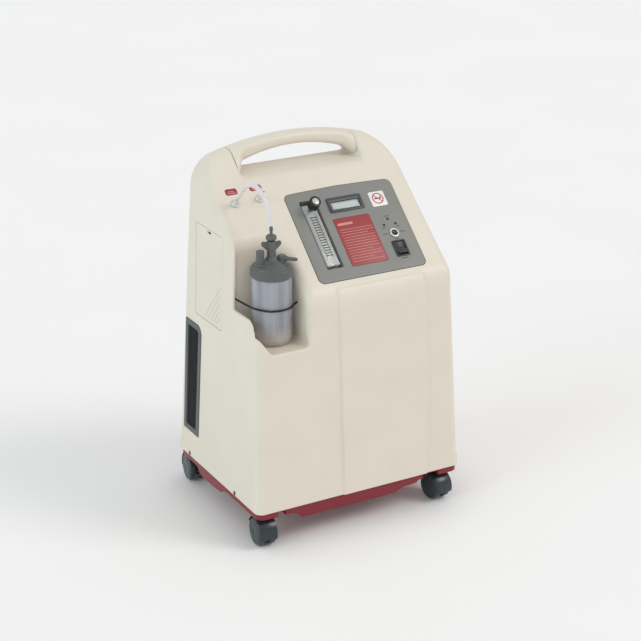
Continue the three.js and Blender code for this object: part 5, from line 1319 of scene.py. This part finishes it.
def build_tray():
    top = BASE_Z - 0.3
    base = slab("tray_moulding", tray_plan(0), TRAY_Z, top)
    add(base, tub_piece(0))
    bevelled(base, 1.4, 3, 30)
    cut(base, slab("inside", tray_plan(3), TRAY_Z + 3, BASE_Z + 10), tub_piece(3))
    for _, x, y, _, _ in CASTERS:
        boss = [(0, TRAY_Z + 1), (12.5, TRAY_Z + 1), (12.5, TRAY_Z + 28, 1), (0, TRAY_Z + 28)]
        add(base, lathe("boss", boss, at(x, y, 0), 40))
        cut(base, lathe("socket", rod(5.9, TRAY_Z - 5, TRAY_Z + 24), at(x, y, 0), 40))
    front = -BODY_D / 2 + TRAY_INSET
    for x0, x1 in SKIRT_GAPS:
        walls = rect(x0 - 3, front + 0.2, x1 + 3, front + 19)
        add(base, slab("walls", walls, TRAY_Z, top, bevel=0.6))
        cut(base, slab("space", rect(x0, front - 20, x1, front + 16), TRAY_Z - 5, top - 2.4))
    dress(base, "tray_plastic", ["base_tray"])


def build_casters():
    for name, x, y, yaw, ahead in CASTERS:
        heading = math.radians(yaw if ahead > 0 else 180 + yaw)
        place = at(x, y, 0) @ Matrix.Rotation(heading, 4, "Z")
        build_housing(name, place)
        hub = place @ at(0, TRAIL, WHEEL_R)
        half = WHEEL_GAP / 2 + WHEEL_W - 2.5
        pin = [(0, -half), (2.5, -half), (3, -half + 0.6), (3, half - 0.6), (2.5, half), (0, half)]
        axle = lathe(f"{name}_pin", pin, hub @ TO_X, 32)
        dress(axle, "steel", [f"caster_{name}_axle"], f"{name}_caster")
        for side, label in ((-ahead, "left"), (ahead, "right")):
            turn = Matrix.Rotation(0 if side > 0 else math.pi, 4, "Z")
            build_wheel(name, label, hub @ turn @ TO_X)


def build_housing(name, place):
    """The fork, hood, stem and swivel plate of one caster."""
    r, half, top = WHEEL_R, (WHEEL_GAP - 2) / 2, WHEEL_D + 5
    hub = place @ at(0, TRAIL, r)
    outline = rounded([(-9, top, 4), (-9, r, 7), (TRAIL - 8, r - 9, 5), (TRAIL + 8, r - 9, 7),
                       (TRAIL + r + 1, r + 4, 9), (TRAIL + 12, top - 4, 12), (4, top, 5)])
    housing = slab(f"{name}_fork", outline, -half, half, place @ ACROSS, 1.4)
    stem = [(0, top - 8), (5.5, top - 8), (5.5, TRAY_Z + 23, 1), (0, TRAY_Z + 23)]
    swivel = [(0, top - 6), (11, top - 6), (12, top - 4, 1), (12, TRAY_Z - 0.6, 0.5), (0, TRAY_Z - 0.6)]
    add(housing, hood_piece(hub), lathe("stem", stem, place, 40), lathe("plate", swivel, place, 48))
    cut(housing, lathe("axle_bore", rod(3.4, -40, 40), hub @ TO_X, 32))
    dress(housing, "caster_plastic", [f"caster_{name}_housing"], f"{name}_caster", angle=35)


def hood_piece(hub):
    """The hood over both wheels: a sector of a shallow drum, low on the trailing side."""
    half = WHEEL_W + WHEEL_GAP / 2 - 1
    start, end, n = math.radians(-16), math.radians(161), 40
    turns = [start + (end - start) * i / n for i in range(n + 1)]
    rims = ((WHEEL_R + 2.6, turns), (WHEEL_R + 1, turns[::-1]))
    points = [(r * math.cos(a), r * math.sin(a)) for r, angles in rims for a in angles]
    return slab("hood", points, -half, half, hub @ ACROSS, 0.55, 2)


def build_wheel(name, label, place):
    r, near, far = WHEEL_R, WHEEL_GAP / 2, WHEEL_GAP / 2 + WHEEL_W
    wheel = lathe(f"{name}_disc_{label}", [
        (3.1, near), (9, near, 0.5), (10, near + 3, 1), (r - 5, near + 3, 1), (r - 3.6, near, 0.8),
        (r - 2, near, 1.5), (r, near + 2.6, 2), (r, far - 3.4, 2.6), (r - 2.6, far - 0.5, 1.6),
        (r - 5.4, far - 0.4, 0.5), (r - 5.9, far - 1, 0.4), (r - 6.8, far - 0.9, 0.5),
        (r - 9, far - 0.15, 5), (6, far, 3), (4.5, far - 0.7, 0.4), (0, far - 0.7), (0, far - 2),
        (3.1, far - 2)], place, 80)
    dress(wheel, "caster_tread", [f"caster_{name}_wheel_{label}"], f"{name}_wheel_{label}", angle=40)


# ------------------------------------------------------------------ carried-over pieces
INSIDES = {
    "chassis": "steel", "compressor": "aluminium", "sieve_bed_left": "aluminium",
    "sieve_bed_right": "aluminium", "product_tank": "aluminium", "valve_manifold": "black_plastic",
    "intake_filter": "white_plastic", "fan_housing": "black_plastic", "fan_rotor": "black_plastic",
    "control_board": "circuit_board",
}


def dress_insides():
    for name, look_name in INSIDES.items():
        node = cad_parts[name]
        node.data.materials.clear()
        node.data.materials.append(look(look_name))


add_camera()
for build in (build_hose, build_covers, build_screws, build_handle, build_panel, build_display,
              build_plates, build_controls, build_legends, build_flowmeter, build_knob, build_ports,
              build_bottle, build_strap, build_door, build_filter, build_inlet, build_grille,
              build_tray, build_casters, dress_insides, add_studio):
    build()
